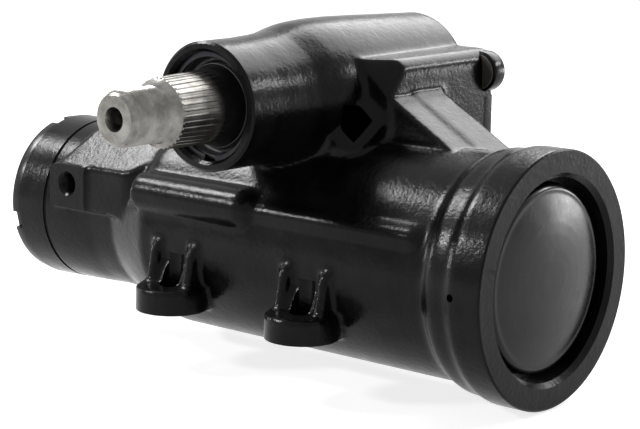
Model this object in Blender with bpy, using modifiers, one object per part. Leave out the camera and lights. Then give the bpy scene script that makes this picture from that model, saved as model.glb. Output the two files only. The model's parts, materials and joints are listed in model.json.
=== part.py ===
"""Power steering gearbox of the recirculating ball kind, as an assembly.

The main bore runs along X, with the flanged end at +X and the input shaft at -X.
The sector shaft runs along Y above it, with its splined end towards -Y.
"""
import math

import bmesh
import bpy
from mathutils import Matrix, Vector

MM = 0.001
TURN = 2 * math.pi

# Fits: the gap between pieces that touch, and the running gap of a shaft
SEAT = 0.3 * MM
RUN = 0.3 * MM
WELD = 0.004 * MM

# Steering mechanism
SECTOR_PITCH_R = 36 * MM
SECTOR_Z = 68 * MM
GEAR_RATIO = 14
RACK_PITCH = 20 * MM
PRESSURE_ANGLE = math.radians(25)
ADDENDUM = 4.8 * MM
DEDENDUM = 5.3 * MM
BACKLASH = 0.35 * MM
SECTOR_TEETH = 3
SECTOR_ROOT = 0.4
SECTOR_FACE = 40 * MM
LOCK_TO_LOCK_TURNS = 3
LEAD = TURN * SECTOR_PITCH_R / GEAR_RATIO
TRAVEL = LEAD * LOCK_TO_LOCK_TURNS / 2
RACK_Z = SECTOR_Z - SECTOR_PITCH_R

# Housing barrel
BORE_R = 38 * MM
BARREL_R = 50.3 * MM
FLANGE_R = 56 * MM
FLANGE_FACE_X = 131 * MM
FLANGE_BAND = 15 * MM
FLARE_X = 96 * MM
BARREL_START_X = -66 * MM
CONE_START_X = -94.5 * MM
VALVE_BODY_R = 40.6 * MM
VALVE_WAIST_R = 39.2 * MM
HOUSING_END_X = -159.2 * MM
END_GROOVE_X = -141 * MM
END_GROOVE = 1.2 * MM
VALVE_BORE_R = 27 * MM
ADJUSTER_BORE_R = 33 * MM
NECK_X = -88 * MM
NECK_WALL = 6 * MM
WORM_HOLE_R = 14.5 * MM

# Flanged end
PLUG_SEAT_X = 109 * MM
PLUG_BORE_R = 44 * MM
MOUTH_R = 46 * MM
MOUTH_CHAMFER = 2.2 * MM
PLUG_THICK = 5.4 * MM
PLUG_WALL = 4 * MM
DOME_R = 41.3 * MM
DOME_SHOULDER_X = 125.4 * MM
DOME_CROWN = 5 * MM
RING_WIDTH = 3 * MM
RING_GROOVE_DEPTH = 1.8 * MM
RING_GAP_ANGLE = math.radians(14)
RELEASE_HOLE_R = 1.7 * MM

# Sector tower
NOSE_Y = -76 * MM
NOSE_R = 28.07 * MM
TOWER_R = 33.5 * MM
TOWER_FLARE_Y = -42 * MM
TOWER_FULL_Y = -12 * MM
JOINT_Y = 61.5 * MM
JOINT_FLANGE = 9 * MM
TOWER_BACK_R = 31.6 * MM
JOURNAL_R = 17.3 * MM
BEARING_R = 22.4 * MM
BEARING_LENGTH = 22 * MM
SEAL_R = 23.6 * MM
SEAL_STEP_Y = -49 * MM
NOSE_MOUTH_R = 24.8 * MM

# Tooth chamber
CHAMBER_R = 42 * MM
CHAMBER_TOP_R = 27 * MM
CHAMBER_FRONT_Y = -22 * MM
CHAMBER_WALL = 4.7 * MM
FRONT_WALL = 4.5 * MM
CHAMBER_RIM_Z = 60 * MM
BLOCK_TOP_Z = 86 * MM
BLOCK_LOW_Z = 16.5 * MM
BLOCK_CORNER = 7 * MM
SHOULDER_Y = -8 * MM
TOWER_TAPER_Y = 19 * MM

# The slanted face on the block's front corners, through three points
FACET_TOWER = (27.9 * MM, 87.5 * MM)
FACET_SIDE_Z = 70 * MM
FACET_BACK_Y = 6.5 * MM

# Gusset from the chamber to the flange
GUSSET_FRONT_Y = -7 * MM
GUSSET_BACK_Y = 31 * MM
GUSSET_RIB_Y = 9 * MM
GUSSET_STEP = 1.8 * MM
GUSSET_TOP_X = 46.7 * MM
GUSSET_TOP_Z = 70 * MM
GUSSET_LOW_X = 97 * MM
GUSSET_LOW_Z = 40.5 * MM

# Mounting ears
EAR_XS = (-41.5 * MM, 36.5 * MM)
EAR_Y = 53 * MM
EAR_R = 16.5 * MM
EAR_LOW_Z = -31 * MM
EAR_HEIGHT = 11 * MM
EAR_HOLE_R = 5.5 * MM
EAR_RIB = 4.6 * MM
EAR_RIB_TOP_Z = 0 * MM
EAR_RIB_FOOT = 10 * MM

# Hose port block, square boss and cast oil passage on the valve end
PORT_BLOCK_X = (-109 * MM, -63 * MM)
PORT_FACE_Y = -44.5 * MM
PORT_LOW_Z = 4 * MM
PORT_BEND_Z = 22.5 * MM
PORT_TOP_Z = 47 * MM
PORT_SLOPE_Y = -20 * MM
PORT_BACK_Y = 21 * MM
PORT_XS = (-100 * MM, -78 * MM)
PORT_HOLE_RS = (8.2 * MM, 9.2 * MM)
PORT_FEED_R = 4 * MM
PORT_DEPTH = 8 * MM
SEAT_HEIGHT = 4 * MM
SQUARE_X = (-132 * MM, -108 * MM)
SQUARE_TOP_Z = 24.5 * MM
SQUARE_BACK_Y = -20 * MM
SQUARE_HOLE_R = 5.2 * MM
SQUARE_HOLE_DEPTH = 9 * MM
PORT_CORNER_R = 24.5 * MM
PASSAGE_R = 6.5 * MM
PASSAGE_ANGLE = math.radians(157)
PASSAGE_PROUD = 2.4 * MM
PASSAGE_BOSS_R = 9.5 * MM
PASSAGE_BOSS_PROUD = 6.8 * MM
PASSAGE_BOSS_END_X = -12 * MM

# Side cover
GASKET = 0.8 * MM
COVER_THICK = 8.1 * MM
COVER_R = 31.6 * MM
COVER_HALF_WIDTH = 46.7 * MM
COVER_EAR_R = 9.5 * MM
COVER_EAR_X = 44 * MM
COVER_EAR_Z = 75.5 * MM
COVER_LOW_EAR_X = 37 * MM
COVER_LOW_EAR_Z = 26 * MM
COVER_BOLT_X = 38.7 * MM
COVER_BOLT_Z = 76.5 * MM
COVER_LOW_BOLT_X = 37 * MM
BOLT_R = 4.5 * MM
BOLT_LENGTH = 18 * MM
BOLT_HEAD_R = 7.5 * MM
BOLT_PAD_R = 7.9 * MM
BOLT_HEAD = 6 * MM
TRUNNION_R = 15 * MM
BUSHING_WALL = 3 * MM
COVER_BOSS_WALL = 5 * MM
COVER_BOSS_Y = 24 * MM
COVER_PAD_R = 15 * MM
COVER_PAD = 2.5 * MM

# Lash adjuster
ADJUSTER_R = 5 * MM
ADJUSTER_HEAD_R = 9 * MM
ADJUSTER_HEAD = 4 * MM
ADJUSTER_OUT = 11 * MM
ADJUSTER_HEX = 5 * MM
LOCK_NUT_FLATS = 17 * MM
LOCK_NUT = 7 * MM

# Sector shaft ends
TRUNNION_END_Y = 57 * MM
SECTOR_HUB_R = 20 * MM
SPLINE_TIP_R = 16 * MM
SPLINE_TEETH = 36
SPLINE_DEPTH = 1.1 * MM
SPLINE_TAPER = 1.1 * MM
SPLINE_START_Y = -72.5 * MM
SPLINE_END_Y = -105 * MM
THREAD_R = 11.9 * MM
SHAFT_END_Y = -129.6 * MM
CENTRE_HOLE_R = 4 * MM
CENTRE_HOLE_DEPTH = 9 * MM

# Worm, nut and balls
WORM_R = 13.2 * MM
BALL_CIRCLE_R = 13.5 * MM
BALL_R = 3.1 * MM
GROOVE_R = 4.3 * MM
HELIX_STEPS = 12
NUT_BORE_R = 13.9 * MM
NUT_START_X = -55 * MM
NUT_TURNS = 2.5
WORM_END_X = 25 * MM
WORM_FLANGE_R = 24 * MM
WORM_FLANGE = 7 * MM
WORM_POCKET_R = 8 * MM

# Rack piston
PISTON_R = 37.6 * MM
PISTON_START_X = -62 * MM
PISTON_END_X = 82 * MM
PISTON_BORE_R = 15.5 * MM
PISTON_PLUG_X = 56 * MM
PISTON_PLUG = 14 * MM
PISTON_PLUG_R = 18 * MM
PISTON_RING_X = 70 * MM
PISTON_RING = 4 * MM
PISTON_RING_DEPTH = 3.2 * MM
GUIDE_FLAT_Z = -24 * MM
GUIDE_R = 5 * MM
GUIDE_BORE_R = 4 * MM
GUIDE_BEND_Z = -29.6 * MM
CLAMP_WIDTH = 9 * MM
CLAMP_SHEET = 1.5 * MM
CLAMP_SCREW_R = 1.7 * MM
CLAMP_SCREW_HEAD_R = 2.9 * MM
CLAMP_SCREW_HEAD = 2 * MM
CLAMP_SPREAD = 10.4 * MM

# Thrust bearings, valve and input shaft
RACE = 1.5 * MM
ROLLER_R = 1.25 * MM
ROLLERS = 12
CAGE = 1.4 * MM
BEARING_HOLE_R = 15 * MM
BEARING_RIM_R = 25 * MM
SLEEVE_R = 26.5 * MM
SLEEVE_BORE_R = 13.9 * MM
SLEEVE_LENGTH = 31.5 * MM
SLEEVE_RINGS = 3
SLEEVE_RING = 2.2 * MM
SLEEVE_RING_DEPTH = 2.4 * MM
SPOOL_R = 13.5 * MM
SPOOL_LANDS = 6
SPOOL_SLOT_R = 2.2 * MM
STUB_R = 11 * MM
STUB_SPLINE_R = 9.5 * MM
STUB_SPLINE_TEETH = 24
STUB_END_X = -197 * MM
STUB_SPLINE_X = -173 * MM
TORSION_BAR_R = 3.2 * MM
TORSION_HEAD_R = 4.6 * MM
TORSION_BORE_R = 5 * MM
TORSION_PIN_R = 1.6 * MM

# Adjuster plug, its lock nut and seals
PLUG_OUT = 9 * MM
PLUG_CORE_R = 16.5 * MM
LOCK_RING_R = 39.7 * MM
LOCK_RING = 5.5 * MM
LOCK_RING_SLOTS = 4
LOCK_RING_SLOT = 8.5 * MM
LOCK_RING_SLOT_DEPTH = 2.6 * MM
O_RING_R = 1.5 * MM

# Facets of the round pieces
FINE = 36
ROUND = 24
SMALL = 12
HIDDEN = 20

PAINT = (0.018, 0.018, 0.02)
STEEL = (0.55, 0.54, 0.52)
BARE_STEEL = (0.62, 0.6, 0.56)
HARD_STEEL = (0.42, 0.42, 0.43)
BRONZE = (0.45, 0.3, 0.14)
BRASS = (0.72, 0.55, 0.22)
RUBBER = (0.03, 0.03, 0.032)
RING_PLASTIC = (0.08, 0.1, 0.09)
FIBRE = (0.09, 0.085, 0.08)

PARTS = "steering_gearbox"
CUTTERS = "cutters"
AXIS_TURN = {
    "X": (0, math.pi / 2, 0),
    "Y": (-math.pi / 2, 0, 0),
    "Z": (0, 0, 0),
}
PLANE_TURN = {
    "XZ": (math.pi / 2, 0, 0),
    "YZ": (math.pi / 2, 0, math.pi / 2),
    "XY": (0, 0, 0),
}
PLANE_AXIS = {"XZ": 1, "YZ": 0, "XY": 2}


def clear_scene():
    """Leaves an empty file with the two collections of this model."""
    for old in list(bpy.data.objects):
        bpy.data.objects.remove(old, do_unlink=True)
    for name in (PARTS, CUTTERS):
        bpy.context.scene.collection.children.link(bpy.data.collections.new(name))


def collection(name):
    return bpy.data.collections[name]


def empty(name, parent=None, location=(0, 0, 0)):
    """A frame that pieces hang on, such as a joint's axis."""
    holder = bpy.data.objects.new(name, None)
    holder.empty_display_size = 20 * MM
    holder.location = location
    holder.parent = parent
    collection(PARTS).objects.link(holder)
    return holder


def put(name, data, frame, location, turn):
    thing = bpy.data.objects.new(name, data)
    thing.location = location
    thing.rotation_euler = turn
    thing.parent = frame
    collection(CUTTERS).objects.link(thing)
    thing.hide_render = True
    thing.display_type = "WIRE"
    return thing


def turned(name, frame, axis, profile, closed=False, steps=ROUND, at=(0, 0, 0), angle=TURN):
    """Turns a profile of (height along the axis, radius) points round the axis."""
    area = sum(a[0] * b[1] - b[0] * a[1] for a, b in zip(profile, profile[1:] + profile[:1]))
    points = profile if area > 0 else profile[::-1]
    mesh = bpy.data.meshes.new(name)
    edges = [(i, i + 1) for i in range(len(points) - 1)]
    if closed:
        edges.append((len(points) - 1, 0))
    mesh.from_pydata([(radius, 0, height) for height, radius in points], edges, [])
    thing = put(name, mesh, frame, at, AXIS_TURN[axis])
    screw = thing.modifiers.new("turn", "SCREW")
    screw.axis = "Z"
    screw.angle = angle
    screw.steps = steps
    screw.render_steps = steps
    screw.use_merge_vertices = True
    screw.merge_threshold = 0.001 * MM
    screw.use_normal_calculate = False
    return thing


def meshed(thing):
    """Turns a curve or a modified object into a plain closed mesh in its place."""
    graph = bpy.context.evaluated_depsgraph_get()
    mesh = bpy.data.meshes.new_from_object(thing.evaluated_get(graph))
    form = bmesh.new()
    form.from_mesh(mesh)
    bmesh.ops.remove_doubles(form, verts=form.verts, dist=0.001 * MM)
    bmesh.ops.recalc_face_normals(form, faces=form.faces)
    form.to_mesh(mesh)
    form.free()
    name, frame = thing.name, thing.parent
    location, turn = thing.location.copy(), thing.rotation_euler.copy()
    bpy.data.objects.remove(thing, do_unlink=True)
    return put(name, mesh, frame, location, turn)


def plate(name, frame, plane, outlines, low, high, at=(0, 0, 0)):
    """A flat outline in one plane, extruded from low to high along the third axis."""
    curve = bpy.data.curves.new(name, "CURVE")
    curve.dimensions = "2D"
    curve.fill_mode = "BOTH"
    curve.extrude = (high - low) / 2
    for outline in outlines:
        spline = curve.splines.new("POLY")
        spline.points.add(len(outline) - 1)
        for point, (u, v) in zip(spline.points, outline):
            point.co = (u, v, 0, 1)
        spline.use_cyclic_u = True
    location = list(at)
    location[PLANE_AXIS[plane]] += (low + high) / 2
    return meshed(put(name, curve, frame, location, PLANE_TURN[plane]))


def tube(name, frame, points, radius, resolution=2, radii=None):
    """A round rod along a line of points, closed at both ends."""
    curve = bpy.data.curves.new(name, "CURVE")
    curve.dimensions = "3D"
    curve.bevel_depth = radius
    curve.bevel_resolution = resolution
    curve.use_fill_caps = True
    spline = curve.splines.new("POLY")
    spline.points.add(len(points) - 1)
    for index, point in enumerate(points):
        spline.points[index].co = (*point, 1)
        if radii:
            spline.points[index].radius = radii[index] / radius
    return meshed(put(name, curve, frame, (0, 0, 0), (0, 0, 0)))


def arc(centre, radius, start, end, count):
    """Points on an arc, with angles in degrees."""
    angles = (math.radians(start + (end - start) * i / (count - 1)) for i in range(count))
    return [(centre[0] + radius * math.cos(a), centre[1] + radius * math.sin(a)) for a in angles]


def join(target, *pieces):
    for piece in pieces:
        change = target.modifiers.new("join", "BOOLEAN")
        change.operation = "UNION"
        change.object = piece


def cut(target, *cutters):
    for cutter in cutters:
        change = target.modifiers.new("cut", "BOOLEAN")
        change.operation = "DIFFERENCE"
        change.object = cutter


def finish(thing, colour, roughness, metallic, smooth=35):
    """Moves a piece out of the cutters, gives it its material and smooths its round faces."""
    if any(change.type == "BOOLEAN" for change in thing.modifiers):
        weld = thing.modifiers.new("weld", "WELD")
        weld.merge_threshold = WELD
    collection(CUTTERS).objects.unlink(thing)
    collection(PARTS).objects.link(thing)
    thing.hide_render = False
    thing.display_type = "TEXTURED"
    material = bpy.data.materials.new(thing.name)
    material.use_nodes = True
    shader = material.node_tree.nodes["Principled BSDF"]
    shader.inputs["Base Color"].default_value = (*colour, 1)
    shader.inputs["Roughness"].default_value = roughness
    shader.inputs["Metallic"].default_value = metallic
    thing.data.materials.append(material)
    thing.data.shade_smooth()
    thing.data.set_sharp_from_angle(angle=math.radians(smooth))
    return thing


def ring(name, frame, axis, low, high, inner, outer, steps=ROUND, at=(0, 0, 0)):
    """A plain turned ring."""
    profile = [(high, inner), (high, outer), (low, outer), (low, inner)]
    return turned(name, frame, axis, profile, closed=True, steps=steps, at=at)


def round_bar(name, frame, axis, low, high, radius, steps=ROUND, at=(0, 0, 0), chamfer=0):
    """A plain turned bar, with a chamfer at both ends where one is given."""
    profile = [(high, 0), (high, radius - chamfer)]
    if chamfer:
        profile += [(high - chamfer, radius), (low + chamfer, radius)]
    else:
        profile += [(low, radius)]
    if chamfer:
        profile += [(low, radius - chamfer)]
    profile += [(low, 0)]
    return turned(name, frame, axis, profile, steps=steps, at=at)


SECTOR_AT = (0, 0, SECTOR_Z)
PISTON_TOP_X = PISTON_END_X + TRAVEL
EAR_TOP_Z = EAR_LOW_Z + EAR_HEIGHT
GASKET_Y = JOINT_Y + SEAT
COVER_Y = GASKET_Y + GASKET + SEAT
COVER_OUT_Y = COVER_Y + COVER_THICK
RING_X = PLUG_SEAT_X + SEAT + PLUG_THICK + SEAT
VALVE_STEP_X = NECK_X - NECK_WALL


def barrel_profile():
    """The outside of the barrel, from the valve end to the flange."""
    groove = END_GROOVE / 2
    return [
        (HOUSING_END_X, 0),
        (HOUSING_END_X, VALVE_BODY_R - groove),
        (HOUSING_END_X + groove, VALVE_BODY_R),
        (END_GROOVE_X - groove, VALVE_BODY_R),
        (END_GROOVE_X, VALVE_BODY_R - END_GROOVE),
        (END_GROOVE_X + groove, VALVE_BODY_R),
        (END_GROOVE_X + 20 * MM, VALVE_WAIST_R),
        (CONE_START_X, VALVE_WAIST_R),
        (BARREL_START_X, BARREL_R - 2 * MM),
        (BARREL_START_X, BARREL_R),
        (FLARE_X, BARREL_R),
        (FLARE_X + (FLANGE_FACE_X - FLANGE_BAND - FLARE_X) / 2, BARREL_R + (FLANGE_R - BARREL_R) * 0.6),
        (FLANGE_FACE_X - FLANGE_BAND, FLANGE_R),
        (FLANGE_FACE_X - MM, FLANGE_R),
        (FLANGE_FACE_X, FLANGE_R - MM),
        (FLANGE_FACE_X, 0),
    ]


def bore_profile():
    """Everything that is turned out of the housing along the main axis."""
    over = 5 * MM
    groove_low = RING_X - SEAT
    groove_high = RING_X + RING_WIDTH + SEAT
    groove_r = PLUG_BORE_R + RING_GROOVE_DEPTH
    return [
        (HOUSING_END_X - over, 0),
        (HOUSING_END_X - over, ADJUSTER_BORE_R),
        (valve_stack()["plug"][1] + 2 * SEAT, ADJUSTER_BORE_R),
        (valve_stack()["plug"][1] + 2 * SEAT, VALVE_BORE_R),
        (VALVE_STEP_X, VALVE_BORE_R),
        (VALVE_STEP_X, WORM_HOLE_R),
        (NECK_X, WORM_HOLE_R),
        (NECK_X, BORE_R),
        (PLUG_SEAT_X, BORE_R),
        (PLUG_SEAT_X, PLUG_BORE_R),
        (groove_low, PLUG_BORE_R),
        (groove_low, groove_r),
        (groove_high, groove_r),
        (groove_high, PLUG_BORE_R),
        (FLANGE_FACE_X - MOUTH_CHAMFER, PLUG_BORE_R),
        (FLANGE_FACE_X, MOUTH_R),
        (FLANGE_FACE_X + over, MOUTH_R),
        (FLANGE_FACE_X + over, 0),
    ]


def tower_profile():
    """The outside of the sector tower, which widens from its nose to the chamber."""
    span = TOWER_FULL_Y - TOWER_FLARE_Y
    rise = TOWER_R - NOSE_R - MM
    profile = [(NOSE_Y, 0), (NOSE_Y, NOSE_R - 1.2 * MM), (NOSE_Y + 1.2 * MM, NOSE_R)]
    for i in range(6):
        share = i / 5
        eased = share * share * (3 - 2 * share)
        profile.append((TOWER_FLARE_Y + span * share, NOSE_R + MM + rise * eased))
    profile += [(TOWER_TAPER_Y, TOWER_R), (JOINT_Y - 2 * MM, TOWER_BACK_R), (JOINT_Y - 2 * MM, 0)]
    return profile


def shaft_hole_profile():
    """The stepped hole through the tower: bearing, seals and snap ring groove."""
    over = 4 * MM
    snap = snap_ring_span()
    return [
        (CHAMBER_FRONT_Y + over, 0),
        (CHAMBER_FRONT_Y + over, BEARING_R),
        (SEAL_STEP_Y, BEARING_R),
        (SEAL_STEP_Y, SEAL_R),
        (snap[1], SEAL_R),
        (snap[1], NOSE_MOUTH_R + SEAT),
        (snap[0], NOSE_MOUTH_R + SEAT),
        (snap[0], SEAL_R),
        (NOSE_Y + 1.5 * MM, SEAL_R),
        (NOSE_Y, NOSE_MOUTH_R),
        (NOSE_Y - over, NOSE_MOUTH_R),
        (NOSE_Y - over, 0),
    ]


def snap_ring_span():
    """The groove of the snap ring in the nose, as its two places along Y."""
    low = NOSE_Y + 3.2 * MM
    return low, low + 2 * MM


def cover_outline(inset=0.0):
    """The side cover's outline in X and Z, ears included."""
    ear_r = COVER_EAR_R - inset
    half = COVER_HALF_WIDTH - inset
    shoulder = BLOCK_TOP_Z - inset
    radius = COVER_R - inset
    meet = math.degrees(math.asin((shoulder - SECTOR_Z) / radius))
    points = arc(SECTOR_AT[::2], radius, meet, 180 - meet, 14)
    points += arc((-COVER_EAR_X, COVER_EAR_Z), ear_r, 100, 262, 7)
    points += [(-half, COVER_EAR_Z - COVER_EAR_R - 2 * MM), (-half, COVER_LOW_EAR_Z)]
    points += arc((-COVER_LOW_EAR_X, COVER_LOW_EAR_Z), ear_r, 195, 270, 5)
    points += arc((COVER_LOW_EAR_X, COVER_LOW_EAR_Z), ear_r, 270, 345, 5)
    points += [(half, COVER_LOW_EAR_Z), (half, COVER_EAR_Z - COVER_EAR_R - 2 * MM)]
    points += arc((COVER_EAR_X, COVER_EAR_Z), ear_r, -82, 80, 7)
    return points


def block_outline():
    """The chamber block's outline in X and Z: a rectangle with round corners."""
    across = COVER_HALF_WIDTH - BLOCK_CORNER
    high = BLOCK_TOP_Z - BLOCK_CORNER
    low = BLOCK_LOW_Z + BLOCK_CORNER
    points = []
    for number, centre in enumerate(((across, high), (-across, high), (-across, low), (across, low))):
        points += arc(centre, BLOCK_CORNER, 90 * number, 90 * number + 90, 5)
    return points


def joint_outline():
    """The housing's face under the side cover: the block with the tower's round top."""
    block = block_outline()
    meet = math.degrees(math.asin((BLOCK_TOP_Z - SECTOR_Z) / TOWER_BACK_R))
    return block[:5] + arc(SECTOR_AT[::2], TOWER_BACK_R, meet, 180 - meet, 13) + block[5:]


def chamber_outline():
    """The hollow that the sector's teeth swing in, in X and Z."""
    turn = math.degrees(math.asin((SECTOR_Z - CHAMBER_RIM_Z) / CHAMBER_R))
    roof = SECTOR_HUB_R + 11.5 * MM
    points = arc(SECTOR_AT[::2], CHAMBER_R, -180 + turn, -turn, 25)
    points.append((roof, SECTOR_Z - MM / 2))
    points += arc(SECTOR_AT[::2], CHAMBER_TOP_R, 0, 180, 15)
    points.append((-roof, SECTOR_Z - MM / 2))
    return points


def chamber_wall_profile():
    """The outside of the chamber in front of the block, rounded towards its front face."""
    front = CHAMBER_FRONT_Y - FRONT_WALL
    outer = CHAMBER_R + CHAMBER_WALL
    return [(SHOULDER_Y + 4 * MM, 0), (SHOULDER_Y + 4 * MM, outer), (front + 9 * MM, outer),
            (front + 5 * MM, outer - MM), (front + 2 * MM, outer - 3.6 * MM), (front, outer - 9 * MM),
            (front, 0)]


def bolt_places():
    """The side cover's four bolts, as (x, z)."""
    upper = [(side * COVER_BOLT_X, COVER_BOLT_Z) for side in (1, -1)]
    lower = [(side * COVER_LOW_BOLT_X, COVER_LOW_EAR_Z) for side in (1, -1)]
    return upper + lower


def build_ear(frame, x, side):
    """One mounting ear: a boss with a vertical hole, a web and two ribs."""
    name = f"ear_{'front' if side < 0 else 'back'}_{round(x / MM)}"
    boss = round_bar(name, frame, "Z", EAR_LOW_Z, EAR_TOP_Z, EAR_R, steps=HIDDEN, at=(x, side * EAR_Y, 0),
                     chamfer=MM)
    root = 30 * MM
    outer = EAR_Y + EAR_RIB_FOOT
    web = [(root, EAR_LOW_Z + MM), (EAR_Y, EAR_LOW_Z + MM), (outer, EAR_TOP_Z - MM),
           (EAR_Y - 4 * MM, -9 * MM), (root, -9 * MM)]
    rib = [(root, EAR_LOW_Z + 2 * MM), (EAR_Y, EAR_LOW_Z + 2 * MM), (outer, EAR_TOP_Z - 2 * MM),
           (outer, EAR_RIB_TOP_Z - 11 * MM), (BARREL_R, EAR_RIB_TOP_Z), (root, EAR_RIB_TOP_Z)]
    inner_half = EAR_R - 2.5 * MM - EAR_RIB
    pieces = [boss]
    pieces.append(plate(f"{name}_web", frame, "YZ", [[(side * y, z) for y, z in web]],
                        x - inner_half - MM, x + inner_half + MM))
    for edge in (-1, 1):
        middle = x + edge * (inner_half + EAR_RIB / 2)
        pieces.append(plate(f"{name}_rib_{edge}", frame, "YZ", [[(side * y, z) for y, z in rib]],
                            middle - EAR_RIB / 2, middle + EAR_RIB / 2))
    return pieces


def build_housing_forms(frame):
    """The solids that the housing casting is made of."""
    forms = [turned("tower", frame, "Y", tower_profile(), steps=ROUND, at=SECTOR_AT)]
    wall = turned("chamber_wall", frame, "Y", chamber_wall_profile(), steps=FINE, at=SECTOR_AT)
    wall_r = CHAMBER_R + CHAMBER_WALL
    roof = [(wall_r + MM, CHAMBER_RIM_Z + MM), (TOWER_R - 2 * MM, SECTOR_Z + 4 * MM)]
    roof += [(-x, z) for x, z in roof[::-1]] + [(-2 * wall_r, 3 * wall_r), (2 * wall_r, 3 * wall_r)]
    cut(wall, plate("above_chamber", frame, "XZ", [roof], CHAMBER_FRONT_Y - 2 * FRONT_WALL, JOINT_Y))
    forms.append(wall)
    block = plate("shoulder_block", frame, "XZ", [block_outline()], SHOULDER_Y, JOINT_Y - 4 * MM)
    cut(block, corner_facet(frame, 1), corner_facet(frame, -1))
    forms.append(block)
    forms.append(plate("joint_flange", frame, "XZ", [joint_outline()], JOINT_Y - JOINT_FLANGE, JOINT_Y))
    slope = (GUSSET_TOP_Z - GUSSET_LOW_Z) / (GUSSET_LOW_X - GUSSET_TOP_X)
    inner_x = GUSSET_TOP_X - 14 * MM
    gusset = [(inner_x, RACK_Z), (inner_x, GUSSET_TOP_Z + slope * 14 * MM), (GUSSET_LOW_X, GUSSET_LOW_Z),
              (GUSSET_LOW_X, RACK_Z)]
    raised = [(x, z + GUSSET_STEP if z > RACK_Z else z) for x, z in gusset]
    forms.append(plate("gusset", frame, "XZ", [gusset], GUSSET_FRONT_Y, GUSSET_BACK_Y))
    forms.append(plate("gusset_rib", frame, "XZ", [raised], GUSSET_RIB_Y, GUSSET_BACK_Y - MM))
    for x in EAR_XS:
        for side in (-1, 1):
            forms += build_ear(frame, x, side)
    block = [(0, PORT_LOW_Z), (PORT_FACE_Y, PORT_LOW_Z), (PORT_FACE_Y, PORT_BEND_Z),
             (PORT_SLOPE_Y, PORT_TOP_Z), (PORT_BACK_Y, PORT_TOP_Z), (PORT_BACK_Y + 12 * MM, RACK_Z),
             (0, RACK_Z)]
    ports = plate("port_block", frame, "YZ", [block], *PORT_BLOCK_X)
    centre = (PORT_BLOCK_X[1] - PORT_CORNER_R, PORT_FACE_Y + PORT_CORNER_R)
    beyond = (PORT_BLOCK_X[1] + 5 * MM, PORT_FACE_Y - 5 * MM)
    corner = arc(centre, PORT_CORNER_R, -90, 0, 8) + [(beyond[0], centre[1]), beyond, (centre[0], beyond[1])]
    cut(ports, plate("port_corner", frame, "XY", [corner], PORT_LOW_Z - 5 * MM, PORT_TOP_Z + 5 * MM))
    forms.append(ports)
    square = [(SQUARE_BACK_Y, PORT_LOW_Z), (PORT_FACE_Y, PORT_LOW_Z), (PORT_FACE_Y, SQUARE_TOP_Z),
              (SQUARE_BACK_Y, SQUARE_TOP_Z)]
    forms.append(plate("square_boss", frame, "YZ", [square], *SQUARE_X))
    start = PORT_BLOCK_X[1] - 6 * MM
    for name, radius, proud, end in (("passage", PASSAGE_R, PASSAGE_PROUD, FLARE_X),
                                     ("passage_boss", PASSAGE_BOSS_R, PASSAGE_BOSS_PROUD, PASSAGE_BOSS_END_X)):
        y, z = turn_point(BARREL_R + proud - radius, PASSAGE_ANGLE)
        forms.append(round_bar(name, frame, "X", start, end, radius, steps=SMALL, at=(0, y, z),
                               chamfer=radius / 3))
    return forms


def corner_facet(frame, side):
    """The solid in front of one slanted face of the chamber block."""
    tower = Vector((side * FACET_TOWER[0], SHOULDER_Y, FACET_TOWER[1]))
    low = Vector((side * COVER_HALF_WIDTH, SHOULDER_Y, FACET_SIDE_Z))
    back = Vector((side * COVER_HALF_WIDTH, FACET_BACK_Y, BLOCK_TOP_Z))
    normal = (low - tower).cross(back - tower).normalized() * side
    middle = (tower + low + back) / 3
    reach = COVER_HALF_WIDTH
    form = bmesh.new()
    bmesh.ops.create_cube(form, size=2 * reach)
    mesh = bpy.data.meshes.new("corner_facet")
    form.to_mesh(mesh)
    form.free()
    return put("corner_facet", mesh, frame, middle + normal * reach, normal.to_track_quat("Z", "Y").to_euler())


def build_housing_cutters(frame):
    """The solids that are cut out of the housing casting."""
    cutters = [turned("bores", frame, "X", bore_profile(), steps=FINE)]
    cutters.append(turned("shaft_hole", frame, "Y", shaft_hole_profile(), steps=ROUND, at=SECTOR_AT))
    beyond = JOINT_Y + 12 * MM
    cutters.append(plate("chamber", frame, "XZ", [chamber_outline()], CHAMBER_FRONT_Y, beyond))
    for number, (x, z) in enumerate(bolt_places(), 1):
        cutters.append(round_bar(f"bolt_hole_{number}", frame, "Y", JOINT_Y - BOLT_LENGTH, beyond,
                                 BOLT_R + SEAT, steps=SMALL, at=(x, 0, z)))
    for x in EAR_XS:
        for side in (-1, 1):
            cutters.append(round_bar("ear_hole", frame, "Z", EAR_LOW_Z - 5 * MM, EAR_TOP_Z + 14 * MM,
                                     EAR_HOLE_R, steps=SMALL, at=(x, side * EAR_Y, 0)))
    for x, radius in zip(PORT_XS, PORT_HOLE_RS):
        inner, floor, over = VALVE_BORE_R - 4 * MM, PORT_TOP_Z - PORT_DEPTH, PORT_TOP_Z + 5 * MM
        hole = [(inner, 0), (inner, PORT_FEED_R), (floor, PORT_FEED_R), (floor, radius), (over, radius), (over, 0)]
        cutters.append(turned("port_hole", frame, "Z", hole, steps=SMALL, at=(x, 0, 0)))
    square_x = sum(SQUARE_X) / 2
    square_z = (PORT_LOW_Z + SQUARE_TOP_Z) / 2
    cutters.append(round_bar("square_hole", frame, "Y", PORT_FACE_Y - 5 * MM, PORT_FACE_Y + SQUARE_HOLE_DEPTH,
                             SQUARE_HOLE_R, steps=SMALL, at=(square_x, 0, square_z)))
    release_x = RING_X + RING_WIDTH / 2
    cutters.append(round_bar("release_hole", frame, "Y", -FLANGE_R - 5 * MM, -PLUG_BORE_R + MM,
                             RELEASE_HOLE_R, steps=SMALL, at=(release_x, 0, 0)))
    return cutters


def build_housing(frame):
    housing = turned("gear_housing", frame, "X", barrel_profile(), steps=FINE)
    join(housing, *build_housing_forms(frame))
    cut(housing, *build_housing_cutters(frame))
    return finish(housing, PAINT, 0.3, 0.0)


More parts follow.
